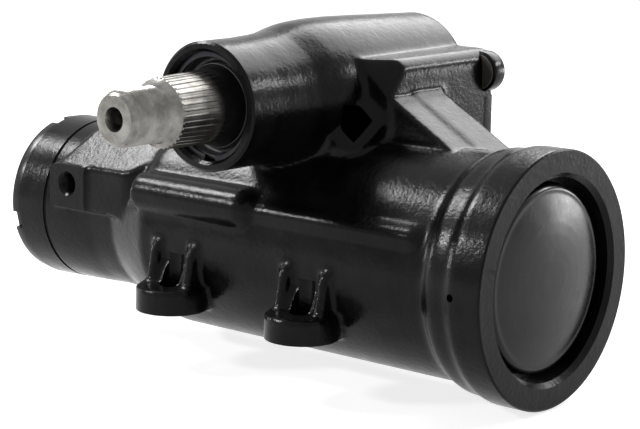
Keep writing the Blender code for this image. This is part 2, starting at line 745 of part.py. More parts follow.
def build_flanged_end(frame):
    """The domed end plug, its O-ring and the ring that holds it."""
    back = PLUG_SEAT_X + SEAT
    front = back + PLUG_THICK
    rim = PLUG_BORE_R - SEAT
    groove = O_RING_R * 1.6
    middle = (back + front) / 2
    crown = DOME_SHOULDER_X + DOME_CROWN
    edge = 3 * MM
    profile = [(crown, 0)]
    for i in range(1, 4):
        share = i / 3
        profile.append((crown - (DOME_CROWN - edge / 2) * share ** 2, (DOME_R - edge) * share))
    profile += [
        (DOME_SHOULDER_X, DOME_R - edge * 0.3),
        (DOME_SHOULDER_X - edge * 0.8, DOME_R),
        (front, DOME_R),
        (front, rim),
        (middle + O_RING_R, rim),
        (middle + O_RING_R, rim - groove),
        (middle - O_RING_R, rim - groove),
        (middle - O_RING_R, rim),
        (back, rim),
        (back, BORE_R - MM),
        (back + PLUG_WALL * 2, DOME_R - PLUG_WALL * 1.6),
        (DOME_SHOULDER_X - PLUG_WALL, DOME_R - PLUG_WALL * 1.6),
        (crown - PLUG_WALL, 0),
    ]
    plug = turned("end_plug", frame, "X", profile, steps=FINE)
    finish(plug, PAINT, 0.28, 0.0)
    o_ring = ring("end_plug_o_ring", frame, "X", middle - O_RING_R + SEAT, middle + O_RING_R - SEAT,
                  rim - groove + SEAT, PLUG_BORE_R - SEAT, steps=FINE)
    finish(o_ring, RUBBER, 0.6, 0.0)
    outer = PLUG_BORE_R + RING_GROOVE_DEPTH - SEAT
    retaining = ring("end_plug_retaining_ring", frame, "X", RING_X, RING_X + RING_WIDTH,
                     DOME_R + SEAT, outer, steps=FINE)
    reach = outer + 5 * MM
    spread = reach * math.tan(RING_GAP_ANGLE / 2)
    gap = plate("ring_gap", frame, "YZ", [[(0, 0), (-spread, -reach), (spread, -reach)]],
                RING_X - 5 * MM, RING_X + RING_WIDTH + 5 * MM)
    cut(retaining, gap)
    finish(retaining, HARD_STEEL, 0.4, 1.0)


def build_side_cover(frame):
    """The side cover with its gasket, bushing, bolts and the adjuster's lock nut."""
    gasket_hole = arc(SECTOR_AT[::2], CHAMBER_TOP_R + MM, 0, 345, 24)
    gasket = plate("side_cover_gasket", frame, "XZ", [cover_outline(0.4 * MM), gasket_hole],
                   GASKET_Y, GASKET_Y + GASKET)
    inner = TRUNNION_R + RUN + BUSHING_WALL + SEAT
    middle_hole = arc(SECTOR_AT[::2], COVER_PAD_R - 2 * MM, 0, 345, 24)
    cover = plate("side_cover", frame, "XZ", [cover_outline(), middle_hole], COVER_Y, COVER_OUT_Y)
    floor = TRUNNION_END_Y + MM
    boss = turned("cover_boss", frame, "Y", [
        (floor, ADJUSTER_R + RUN), (floor, inner), (COVER_BOSS_Y, inner),
        (COVER_BOSS_Y, inner + COVER_BOSS_WALL), (COVER_Y + 2 * MM, inner + COVER_BOSS_WALL),
        (COVER_Y + 3 * MM, COVER_PAD_R),
        (COVER_OUT_Y + COVER_PAD, COVER_PAD_R), (COVER_OUT_Y + COVER_PAD, ADJUSTER_R + RUN)],
        closed=True, steps=ROUND, at=SECTOR_AT)
    pads = [round_bar(f"bolt_pad_{i}", frame, "Y", COVER_Y + MM, COVER_OUT_Y + MM, BOLT_PAD_R,
                      steps=SMALL, at=(x, 0, z)) for i, (x, z) in enumerate(bolt_places())]
    join(cover, boss, *pads)
    screw_hole = round_bar("nut_hole", frame, "Y", COVER_OUT_Y, COVER_OUT_Y + 20 * MM, ADJUSTER_R + RUN,
                           steps=SMALL, at=SECTOR_AT)
    for number, (x, z) in enumerate(bolt_places(), 1):
        hole = round_bar(f"cover_hole_{number}", frame, "Y", JOINT_Y - 5 * MM, COVER_OUT_Y + 10 * MM,
                         BOLT_R + SEAT, steps=SMALL, at=(x, 0, z))
        cut(cover, hole)
        cut(gasket, hole)
        build_bolt(frame, number, x, z)
    finish(cover, PAINT, 0.3, 0.0)
    finish(gasket, FIBRE, 0.8, 0.0)
    bushing = ring("side_cover_bushing", frame, "Y", COVER_BOSS_Y + SEAT, TRUNNION_END_Y - MM,
                   TRUNNION_R + RUN, inner - SEAT, at=SECTOR_AT)
    finish(bushing, BRONZE, 0.35, 1.0)
    top = COVER_OUT_Y + COVER_PAD
    nut = hex_bar("lash_adjuster_lock_nut", frame, LOCK_NUT_FLATS, top + SEAT, top + SEAT + LOCK_NUT,
                  *SECTOR_AT[::2])
    cut(nut, screw_hole)
    finish(nut, HARD_STEEL, 0.4, 1.0)


def hex_bar(name, frame, flats, low, high, x, z):
    """A hexagonal prism along Y."""
    corners = arc((x, z), flats / math.sqrt(3), 0, 300, 6)
    return plate(name, frame, "XZ", [corners], low, high)


def build_bolt(frame, number, x, z):
    """One side cover bolt: a flanged hexagon head on a shank."""
    seat = COVER_OUT_Y + MM + SEAT
    washer = 1.6 * MM
    bolt = round_bar(f"side_cover_bolt_{number}", frame, "Y", JOINT_Y - BOLT_LENGTH + MM, seat + washer, BOLT_R,
                     steps=SMALL, at=(x, 0, z), chamfer=0.8 * MM)
    collar = round_bar(f"bolt_collar_{number}", frame, "Y", seat, seat + washer, BOLT_HEAD_R, steps=SMALL,
                       at=(x, 0, z))
    flats = BOLT_HEAD_R * math.sqrt(3) - MM
    head = hex_bar(f"bolt_head_{number}", frame, flats, seat + washer / 2, seat + BOLT_HEAD, x, z)
    join(bolt, collar, head)
    finish(bolt, STEEL, 0.4, 1.0)


def build_lash_adjuster(frame):
    """The screw that sets the sector's lash, with its head in the sector shaft."""
    head_low = TRUNNION_END_Y - ADJUSTER_HEAD - 2 * SEAT
    top = COVER_OUT_Y + COVER_PAD + SEAT + LOCK_NUT + ADJUSTER_OUT - LOCK_NUT
    profile = [
        (head_low, 0),
        (head_low, ADJUSTER_HEAD_R),
        (head_low + ADJUSTER_HEAD, ADJUSTER_HEAD_R),
        (head_low + ADJUSTER_HEAD, ADJUSTER_R),
        (top - MM, ADJUSTER_R),
        (top, ADJUSTER_R - MM),
        (top, 0),
    ]
    screw = turned("lash_adjuster_screw", frame, "Y", profile, steps=SMALL)
    socket = hex_bar("adjuster_socket", frame, ADJUSTER_HEX, top - 5 * MM, top + 5 * MM, 0, 0)
    cut(screw, socket)
    finish(screw, HARD_STEEL, 0.35, 1.0)


def build_nose_seals(frame):
    """The bearing, the seals and the snap ring round the sector shaft."""
    rollers = 16
    roller = 1.5 * MM
    shell = BEARING_R - SEAT
    track = JOURNAL_R + RUN + roller
    inner = []
    for i in range(rollers):
        inner += arc(turn_point(track, TURN * i / rollers), roller, 360 * i / rollers + 255,
                     360 * i / rollers + 105, 4)
    outer = arc((0, 0), shell, 0, 360 - 360 / ROUND, ROUND)
    high = CHAMBER_FRONT_Y - SEAT
    bearing = plate("sector_needle_bearing", frame, "XZ", [outer, inner], high - BEARING_LENGTH, high, at=SECTOR_AT)
    finish(bearing, HARD_STEEL, 0.35, 1.0)
    rim = SEAL_R - SEAT
    seal_high = SEAL_STEP_Y - SEAT
    inner_seal = ring("sector_inner_seal", frame, "Y", seal_high - 7 * MM, seal_high, JOURNAL_R + RUN, rim,
                      steps=HIDDEN, at=SECTOR_AT)
    finish(inner_seal, RUBBER, 0.55, 0.0)
    washer_high = seal_high - 7 * MM - SEAT
    washer = ring("sector_seal_washer", frame, "Y", washer_high - 1.5 * MM, washer_high, JOURNAL_R + RUN, rim,
                  steps=HIDDEN, at=SECTOR_AT)
    finish(washer, STEEL, 0.4, 1.0)
    outer_high = washer_high - 1.5 * MM - SEAT
    outer_low = snap_ring_span()[1] + 2 * SEAT
    lip = 2 * MM
    profile = [(outer_high, JOURNAL_R + RUN), (outer_high, rim), (outer_low, rim), (outer_low, rim - lip),
               (outer_low + lip, rim - 2 * lip), (outer_low, JOURNAL_R + RUN)]
    outer_seal = turned("sector_outer_seal", frame, "Y", profile, closed=True, at=SECTOR_AT)
    finish(outer_seal, RUBBER, 0.55, 0.0)
    low, high = snap_ring_span()
    snap = ring("sector_snap_ring", frame, "Y", low + SEAT, high - SEAT, rim - 2.2 * MM, NOSE_MOUTH_R,
                at=SECTOR_AT)
    gap = plate("snap_gap", frame, "XZ", [[(0, 0), (-4 * MM, -30 * MM), (4 * MM, -30 * MM)]],
                low - 5 * MM, high + 5 * MM, at=SECTOR_AT)
    cut(snap, gap)
    finish(snap, HARD_STEEL, 0.35, 1.0)


def turn_point(radius, angle):
    return radius * math.cos(angle), radius * math.sin(angle)


def involute(angle):
    return math.tan(angle) - angle


def sector_outline():
    """The sector's teeth and hub in X and Z, about its own axis."""
    base = SECTOR_PITCH_R * math.cos(PRESSURE_ANGLE)
    tip = SECTOR_PITCH_R + ADDENDUM
    root = SECTOR_PITCH_R - DEDENDUM
    step = RACK_PITCH / SECTOR_PITCH_R
    half = (RACK_PITCH / 2 - BACKLASH) / 2 / SECTOR_PITCH_R + involute(PRESSURE_ANGLE)
    flank = [(root, half)]
    for i in range(6):
        radius = base + (tip - base) * i / 5
        flank.append((radius, half - involute(math.acos(base / radius))))
    points = []
    down = -math.pi / 2
    first = (SECTOR_TEETH - 1) / 2
    points.append(turn_point(root, down - (first + SECTOR_ROOT) * step))
    for k in range(SECTOR_TEETH):
        middle = down + (k - first) * step
        points += [turn_point(radius, middle - a) for radius, a in flank]
        points += [turn_point(radius, middle + a) for radius, a in reversed(flank)]
    points.append(turn_point(root, down + (first + SECTOR_ROOT) * step))
    points += arc((0, 0), SECTOR_HUB_R, -25, 205, 18)
    return points


def spline_bar(name, frame, axis, low, high, tip, depth, teeth, taper=0.0):
    """A bar with straight teeth all round; its low end is narrower by the taper."""
    outline = []
    for i in range(teeth):
        for share, radius in ((-0.3, tip - depth), (-0.13, tip), (0.13, tip), (0.3, tip - depth)):
            outline.append(turn_point(radius, TURN * (i + share) / teeth))
    form = bmesh.new()
    rings = []
    for height, scale in ((low, (tip - taper) / tip), (high, 1.0)):
        rings.append([form.verts.new((x * scale, y * scale, height)) for x, y in outline])
    form.faces.new(rings[0][::-1])
    form.faces.new(rings[1])
    count = len(outline)
    for i in range(count):
        j = (i + 1) % count
        form.faces.new((rings[0][i], rings[0][j], rings[1][j], rings[1][i]))
    mesh = bpy.data.meshes.new(name)
    form.to_mesh(mesh)
    form.free()
    return put(name, mesh, frame, (0, 0, 0), AXIS_TURN[axis])


def build_sector(frame):
    """The sector shaft: trunnion, three teeth, journal, tapered spline and thread."""
    half = SECTOR_FACE / 2
    root = SPLINE_TIP_R - SPLINE_DEPTH - SPLINE_TAPER - 0.5 * MM
    profile = [
        (TRUNNION_END_Y, 0),
        (TRUNNION_END_Y, TRUNNION_R - MM),
        (TRUNNION_END_Y - MM, TRUNNION_R),
        (half - MM, TRUNNION_R),
        (half - MM, JOURNAL_R),
        (SPLINE_START_Y + 2 * MM, JOURNAL_R),
        (SPLINE_START_Y, SPLINE_TIP_R - SPLINE_DEPTH - 0.3 * MM),
        (SPLINE_END_Y, root),
        (SPLINE_END_Y - 2 * MM, THREAD_R),
        (SHAFT_END_Y + 1.6 * MM, THREAD_R),
        (SHAFT_END_Y, THREAD_R - 1.6 * MM),
        (SHAFT_END_Y, 0),
    ]
    shaft = turned("sector_shaft", frame, "Y", profile, steps=ROUND)
    teeth = plate("sector_teeth", frame, "XZ", [sector_outline()], -half, half)
    spline = spline_bar("pitman_spline", frame, "Y", SPLINE_END_Y, SPLINE_START_Y, SPLINE_TIP_R, SPLINE_DEPTH,
                        SPLINE_TEETH, SPLINE_TAPER)
    join(shaft, teeth, spline)
    pocket_low = TRUNNION_END_Y - ADJUSTER_HEAD - 4 * SEAT
    pocket_r = ADJUSTER_HEAD_R / math.cos(math.pi / SMALL) + RUN
    pocket = round_bar("adjuster_pocket", frame, "Y", pocket_low, TRUNNION_END_Y + 5 * MM, pocket_r, steps=SMALL)
    centre = turned("centre_hole", frame, "Y", [
        (SHAFT_END_Y - 2 * MM, 0),
        (SHAFT_END_Y - 2 * MM, CENTRE_HOLE_R + 3 * MM),
        (SHAFT_END_Y + MM, CENTRE_HOLE_R),
        (SHAFT_END_Y + CENTRE_HOLE_DEPTH, CENTRE_HOLE_R),
        (SHAFT_END_Y + CENTRE_HOLE_DEPTH + 2 * MM, 0),
    ], steps=SMALL)
    cut(shaft, pocket, centre)
    finish(shaft, BARE_STEEL, 0.32, 1.0)


def helix(radius, start_x, turns, first_turn=0.0):
    """Points along the worm's helix; the angle grows from +Y towards +Z."""
    count = round(turns * HELIX_STEPS)
    points = []
    for i in range(count + 1):
        turned_by = first_turn + turns * i / count
        x = start_x + LEAD * turns * i / count
        points.append((x, radius * math.cos(TURN * turned_by), radius * math.sin(TURN * turned_by)))
    return points


def ball_path():
    """The balls' way: up a leg, round the worm, down the other leg and back across."""
    start = NUT_START_X
    end = start + LEAD * NUT_TURNS
    side = BALL_CIRCLE_R
    low = GUIDE_BEND_Z
    bend = 5 * MM
    across = Vector((end - start, -2 * side, 0)).normalized()
    first = Vector((start, side, low)) + across * bend
    last = Vector((end, -side, low)) - across * bend
    return {
        "leg_up": [first, Vector((start, side, low)) + (across + Vector((0, 0, 1))) * bend * 0.3,
                   Vector((start, side, low + bend))],
        "round": [Vector(p) for p in helix(side, start, NUT_TURNS)],
        "leg_down": [Vector((end, -side, low + bend)),
                     Vector((end, -side, low)) + (Vector((0, 0, 1)) - across) * bend * 0.3, last],
        "start": start,
        "end": end,
        "across": across,
    }


def spaced(points, step):
    """Points at even steps along a line of points."""
    result = [points[0].copy()]
    need = step
    for a, b in zip(points, points[1:]):
        length = (b - a).length
        while need <= length:
            result.append(a.lerp(b, need / length))
            need += step
        need -= length
    return result


def build_ball_train(frame):
    """The balls, drawn as one string of beads along their way."""
    path = ball_path()
    gap = path["leg_down"][-1].lerp(path["leg_up"][0], 0.78)
    line = path["leg_up"] + path["round"] + path["leg_down"] + [gap]
    points = spaced(line, BALL_R)
    sizes = [1.4 * MM, BALL_R]
    count = (len(points) - 1) // 2 * 2 + 1
    radii = [sizes[i % 2] for i in range(count)]
    train = tube("ball_train", frame, points[:count], BALL_R, 1, radii)
    finish(train, BARE_STEEL, 0.15, 1.0, smooth=60)


def build_rack_piston(frame):
    """The piston with its rack, nut thread, ball return and end plug."""
    chamfer = 1.5 * MM
    ring_low = PISTON_RING_X
    ring_high = PISTON_RING_X + PISTON_RING
    deep = PISTON_R - PISTON_RING_DEPTH
    profile = [
        (PISTON_START_X, NUT_BORE_R),
        (PISTON_START_X, PISTON_R - chamfer),
        (PISTON_START_X + chamfer, PISTON_R),
        (ring_low, PISTON_R), (ring_low, deep), (ring_high, deep), (ring_high, PISTON_R),
        (PISTON_END_X - chamfer, PISTON_R),
        (PISTON_END_X, PISTON_R - chamfer),
        (PISTON_END_X, PISTON_PLUG_R + SEAT),
        (PISTON_PLUG_X - SEAT, PISTON_PLUG_R + SEAT),
        (PISTON_PLUG_X - SEAT, PISTON_BORE_R),
        (NUT_START_X + LEAD * NUT_TURNS + 2 * GROOVE_R, PISTON_BORE_R),
        (NUT_START_X + LEAD * NUT_TURNS + 2 * GROOVE_R, NUT_BORE_R),
    ]
    piston = turned("rack_piston", frame, "X", profile, closed=True, steps=FINE)
    cut(piston, rack_gaps(frame))
    path = ball_path()
    flat_low = PISTON_START_X - 5 * MM
    flat_high = path["end"] + GUIDE_R * 2
    across = [(-PISTON_R, GUIDE_FLAT_Z), (PISTON_R, GUIDE_FLAT_Z), (PISTON_R, -PISTON_R - MM),
              (-PISTON_R, -PISTON_R - MM)]
    cut(piston, plate("guide_flat", frame, "YZ", [across], flat_low, flat_high))
    leg_top = -GUIDE_R - BALL_CIRCLE_R / 2
    for x, y in ((path["start"], BALL_CIRCLE_R), (path["end"], -BALL_CIRCLE_R)):
        cut(piston, round_bar("leg_hole", frame, "Z", GUIDE_FLAT_Z - 5 * MM, leg_top, GUIDE_R + SEAT,
                              steps=SMALL, at=(x, y, 0)))
    groove = [path["leg_up"][-1]] + path["round"] + [path["leg_down"][0]]
    cut(piston, tube("nut_groove", frame, groove, GROOVE_R, 1))
    for x, y in clamp_screw_places():
        cut(piston, round_bar("clamp_hole", frame, "Z", GUIDE_FLAT_Z - 5 * MM, GUIDE_FLAT_Z + 5 * MM,
                              CLAMP_SCREW_R + SEAT, steps=12, at=(x, y, 0)))
    finish(piston, HARD_STEEL, 0.35, 1.0)
    seal = ring("piston_ring", frame, "X", ring_low + SEAT, ring_high - SEAT, deep + SEAT, BORE_R - 0.15 * MM,
                steps=FINE)
    finish(seal, RING_PLASTIC, 0.5, 0.0)
    plug = round_bar("rack_piston_plug", frame, "X", PISTON_PLUG_X, PISTON_PLUG_X + PISTON_PLUG, PISTON_PLUG_R,
                     steps=ROUND, chamfer=MM)
    half = 6 * MM
    drive = [(-half, -half), (half, -half), (half, half), (-half, half)]
    cut(plug, plate("plug_drive", frame, "YZ", [drive], PISTON_PLUG_X + PISTON_PLUG / 2, PISTON_END_X))
    finish(plug, STEEL, 0.4, 1.0)


def rack_gaps(frame):
    """The spaces between the rack's teeth, as one comb-shaped cutter."""
    lean = math.tan(PRESSURE_ANGLE)
    half = (RACK_PITCH / 2 + BACKLASH / 2) / 2
    depth = DEDENDUM
    top = PISTON_R + 5 * MM
    tip = RACK_Z + ADDENDUM
    points = []
    span = (SECTOR_TEETH - 1) // 2
    for k in range(-span, span + 1):
        x = k * RACK_PITCH
        low = half - depth * lean
        high = half + ADDENDUM * lean
        points += [(x - high, tip), (x - low, RACK_Z - depth), (x + low, RACK_Z - depth), (x + high, tip)]
    end = points[-1][0]
    points += [(end + RACK_PITCH / 2 - 2 * ADDENDUM * lean, tip), (end + RACK_PITCH / 2, top)]
    points += [(-end - RACK_PITCH / 2, top), (-end - RACK_PITCH / 2 + 2 * ADDENDUM * lean, tip)]
    return plate("rack_gaps", frame, "XZ", [points], -PISTON_R, PISTON_R)


def clamp_screw_places():
    path = ball_path()
    middle = ((path["start"] + path["end"]) / 2, 0)
    side = Vector((-path["across"].y, path["across"].x, 0))
    return [(middle[0] + way * CLAMP_SPREAD * side.x, middle[1] + way * CLAMP_SPREAD * side.y) for way in (1, -1)]


def build_ball_return(frame):
    """The U-shaped guide that carries the balls back, and the strap that holds it."""
    path = ball_path()
    low_leg = GUIDE_FLAT_Z + 4 * MM
    line = [Vector((path["start"], BALL_CIRCLE_R, low_leg))] + path["leg_up"][::-1]
    line += path["leg_down"][::-1] + [Vector((path["end"], -BALL_CIRCLE_R, low_leg))]
    guide = tube("ball_return_guide", frame, line, GUIDE_R, 2)
    open_line = [line[0] + Vector((0, 0, 5 * MM))] + line[1:-1] + [line[-1] + Vector((0, 0, 5 * MM))]
    cut(guide, tube("guide_bore", frame, open_line, GUIDE_BORE_R, 2))
    finish(guide, STEEL, 0.35, 1.0)
    inner = GUIDE_R + SEAT
    outer = inner + CLAMP_SHEET
    foot = GUIDE_FLAT_Z - GUIDE_BEND_Z - SEAT
    reach = CLAMP_SPREAD + CLAMP_SCREW_HEAD_R
    strap = [(reach, foot), (inner, foot)] + arc((0, 0), inner, 0, -180, 9) + [(-inner, foot), (-reach, foot)]
    strap += [(-reach, foot - CLAMP_SHEET), (-outer, foot - CLAMP_SHEET)] + arc((0, 0), outer, -180, 0, 9)
    strap += [(outer, foot - CLAMP_SHEET), (reach, foot - CLAMP_SHEET)]
    middle = (path["start"] + path["end"]) / 2
    clamp = plate("guide_clamp", frame, "XZ", [strap], -CLAMP_WIDTH / 2, CLAMP_WIDTH / 2,
                  at=(middle, 0, GUIDE_BEND_Z))
    side = Vector((-path["across"].y, path["across"].x, 0))
    clamp.rotation_euler.z = math.atan2(side.y, side.x)
    for number, (x, y) in enumerate(clamp_screw_places(), 1):
        under = GUIDE_FLAT_Z - SEAT - CLAMP_SHEET - SEAT
        cut(clamp, round_bar("strap_hole", frame, "Z", under - 5 * MM, GUIDE_FLAT_Z + 5 * MM,
                             CLAMP_SCREW_R + SEAT, steps=12, at=(x, y, 0)))
        screw = turned(f"guide_clamp_screw_{number}", frame, "Z", [
            (GUIDE_FLAT_Z + 4 * MM, 0), (GUIDE_FLAT_Z + 4 * MM, CLAMP_SCREW_R), (under, CLAMP_SCREW_R),
            (under, CLAMP_SCREW_HEAD_R), (under - CLAMP_SCREW_HEAD, CLAMP_SCREW_HEAD_R - 0.6 * MM),
            (under - CLAMP_SCREW_HEAD, 0)], steps=16, at=(x, y, 0))
        finish(screw, STEEL, 0.4, 1.0)
    finish(clamp, STEEL, 0.4, 1.0)


def valve_stack():
    """Where each piece of the valve end lies along X, from the neck outwards."""
    place = {}
    x = VALVE_STEP_X
    for name, width in (("lower_race_a", RACE), ("lower_rollers", 2 * ROLLER_R), ("lower_race_b", RACE),
                        ("worm_flange", WORM_FLANGE), ("sleeve", SLEEVE_LENGTH), ("upper_race_a", RACE),
                        ("upper_rollers", 2 * ROLLER_R), ("upper_race_b", RACE)):
        x -= SEAT
        place[name] = (x - width, x)
        x -= width
    place["plug"] = (HOUSING_END_X - PLUG_OUT, x - SEAT)
    return place


def build_worm(frame):
    """The worm with its ball groove, thrust flange and the pocket for the torsion bar."""
    stack = valve_stack()
    low, high = stack["worm_flange"]
    profile = [
        (WORM_END_X, 0),
        (WORM_END_X, WORM_R - 2 * MM),
        (WORM_END_X - 2 * MM, WORM_R),
        (high, WORM_R),
        (high, WORM_FLANGE_R),
        (low, WORM_FLANGE_R),
        (low, WORM_POCKET_R),
        (low + WORM_FLANGE / 2, WORM_POCKET_R),
        (low + WORM_FLANGE / 2, TORSION_BORE_R),
        (high + 30 * MM, TORSION_BORE_R),
        (high + 33 * MM, 0),
    ]
    worm = turned("worm_shaft", frame, "X", profile, steps=ROUND)
    beyond = math.ceil((TRAVEL + BALL_R) / LEAD * HELIX_STEPS) / HELIX_STEPS
    turns = NUT_TURNS + 2 * beyond
    start = NUT_START_X - beyond * LEAD
    groove = tube("worm_groove", frame, helix(BALL_CIRCLE_R, start, turns, -beyond), GROOVE_R, 1)
    cut(worm, groove)
    finish(worm, HARD_STEEL, 0.3, 1.0)


def build_sleeve(frame):
    """The valve sleeve with a seal ring between each pair of its ports."""
    low, high = valve_stack()["sleeve"]
    pitch = (high - low) / SLEEVE_RINGS
    profile = [(low, SLEEVE_BORE_R), (low, SLEEVE_R - MM), (low + MM, SLEEVE_R)]
    places = []
    for i in range(SLEEVE_RINGS):
        middle = low + pitch * (i + 0.5)
        edges = (middle - SLEEVE_RING / 2 - SEAT, middle + SLEEVE_RING / 2 + SEAT)
        places.append(middle)
        profile += [(edges[0], SLEEVE_R), (edges[0], SLEEVE_R - SLEEVE_RING_DEPTH),
                    (edges[1], SLEEVE_R - SLEEVE_RING_DEPTH), (edges[1], SLEEVE_R)]
    profile += [(high - MM, SLEEVE_R), (high, SLEEVE_R - MM), (high, SLEEVE_BORE_R)]
    sleeve = turned("valve_sleeve", frame, "X", profile, closed=True, steps=ROUND)
    for i in range(SLEEVE_RINGS - 1):
        x = low + pitch * (i + 1)
        cut(sleeve, round_bar("sleeve_port", frame, "YZ"[i % 2], -SLEEVE_R - MM, SLEEVE_R + MM, 1.6 * MM,
                              steps=8, at=(x, 0, 0)))
    finish(sleeve, HARD_STEEL, 0.3, 1.0)
    for number, middle in enumerate(places, 1):
        band = ring(f"valve_sleeve_ring_{number}", frame, "X", middle - SLEEVE_RING / 2, middle + SLEEVE_RING / 2,
                    SLEEVE_R - SLEEVE_RING_DEPTH + SEAT, VALVE_BORE_R - SEAT / 2, steps=ROUND)
        finish(band, RING_PLASTIC, 0.5, 0.0)


def build_input(frame):
    """The stub shaft with its spool, and the torsion bar with its pin."""
    stack = valve_stack()
    low, high = stack["sleeve"]
    inner = TORSION_BORE_R
    profile = [
        (high - MM, inner), (high - MM, SPOOL_R), (low - SEAT, SPOOL_R), (low - SEAT, STUB_R),
        (STUB_SPLINE_X, STUB_R), (STUB_SPLINE_X - MM, STUB_SPLINE_R - 1.2 * MM),
        (STUB_END_X, STUB_SPLINE_R - 1.2 * MM), (STUB_END_X, 0), (low - 10 * MM, 0), (low - 8 * MM, inner),
    ]
    stub = turned("stub_shaft", frame, "X", profile, closed=True, steps=ROUND)
    spline = spline_bar("input_spline", frame, "X", STUB_END_X + MM, STUB_SPLINE_X - 2 * MM, STUB_SPLINE_R,
                        0.7 * MM, STUB_SPLINE_TEETH)
    join(stub, spline)
    for i in range(SPOOL_LANDS):
        y, z = turn_point(SPOOL_R + 0.8 * MM, TURN * i / SPOOL_LANDS)
        cut(stub, round_bar("spool_slot", frame, "X", low + 5 * MM, high - 7 * MM, SPOOL_SLOT_R, steps=6,
                            at=(0, y, z)))
    pin_x = low + 2 * MM
    pin_reach = SPOOL_R - MM
    cut(stub, round_bar("pin_hole", frame, "Z", -pin_reach - 5 * MM, pin_reach + 5 * MM, TORSION_PIN_R + SEAT,
                        steps=12, at=(pin_x, 0, 0)))
    finish(stub, STEEL, 0.35, 1.0)
    worm_end = stack["worm_flange"][1] + 28 * MM
    bar_start = low - 7 * MM
    head = 7 * MM
    bar = turned("torsion_bar", frame, "X", [
        (bar_start, 0), (bar_start, TORSION_HEAD_R), (pin_x + head, TORSION_HEAD_R),
        (pin_x + head + MM, TORSION_BAR_R), (worm_end - head - MM, TORSION_BAR_R),
        (worm_end - head, TORSION_HEAD_R), (worm_end, TORSION_HEAD_R), (worm_end, 0)], steps=SMALL)
    cut(bar, round_bar("bar_hole", frame, "Z", -TORSION_HEAD_R - 5 * MM, TORSION_HEAD_R + 5 * MM,
                       TORSION_PIN_R + SEAT, steps=12, at=(pin_x, 0, 0)))
    finish(bar, HARD_STEEL, 0.3, 1.0)
    pin = round_bar("torsion_bar_pin", frame, "Z", -pin_reach, pin_reach, TORSION_PIN_R, steps=12,
                    at=(pin_x, 0, 0))
    finish(pin, HARD_STEEL, 0.3, 1.0)


def build_thrust_bearings(frame):
    """Two roller thrust bearings, each between two races."""
    stack = valve_stack()
    for side in ("lower", "upper"):
        for end in "ab":
            low, high = stack[f"{side}_race_{end}"]
            race = ring(f"{side}_thrust_race_{end}", frame, "X", low, high, BEARING_HOLE_R, BEARING_RIM_R,
                        steps=HIDDEN)
            finish(race, HARD_STEEL, 0.25, 1.0)
        low, high = stack[f"{side}_rollers"]
        middle = (low + high) / 2
        cage = ring(f"{side}_thrust_bearing", frame, "X", middle - CAGE / 2, middle + CAGE / 2,
                    BEARING_HOLE_R + MM, BEARING_RIM_R - MM, steps=HIDDEN)
        rollers = [roller(frame, middle, TURN * i / ROLLERS) for i in range(ROLLERS)]
        join(cage, *rollers)
        finish(cage, STEEL, 0.35, 1.0)


def roller(frame, x, angle):
    """One roller of a thrust bearing, lying along a radius."""
    bar = round_bar("roller", frame, "Z", BEARING_HOLE_R + 2.5 * MM, BEARING_RIM_R - 2.5 * MM, ROLLER_R, steps=6,
                    at=(x, 0, 0))
    bar.rotation_euler = (angle, 0, 0)
    return bar


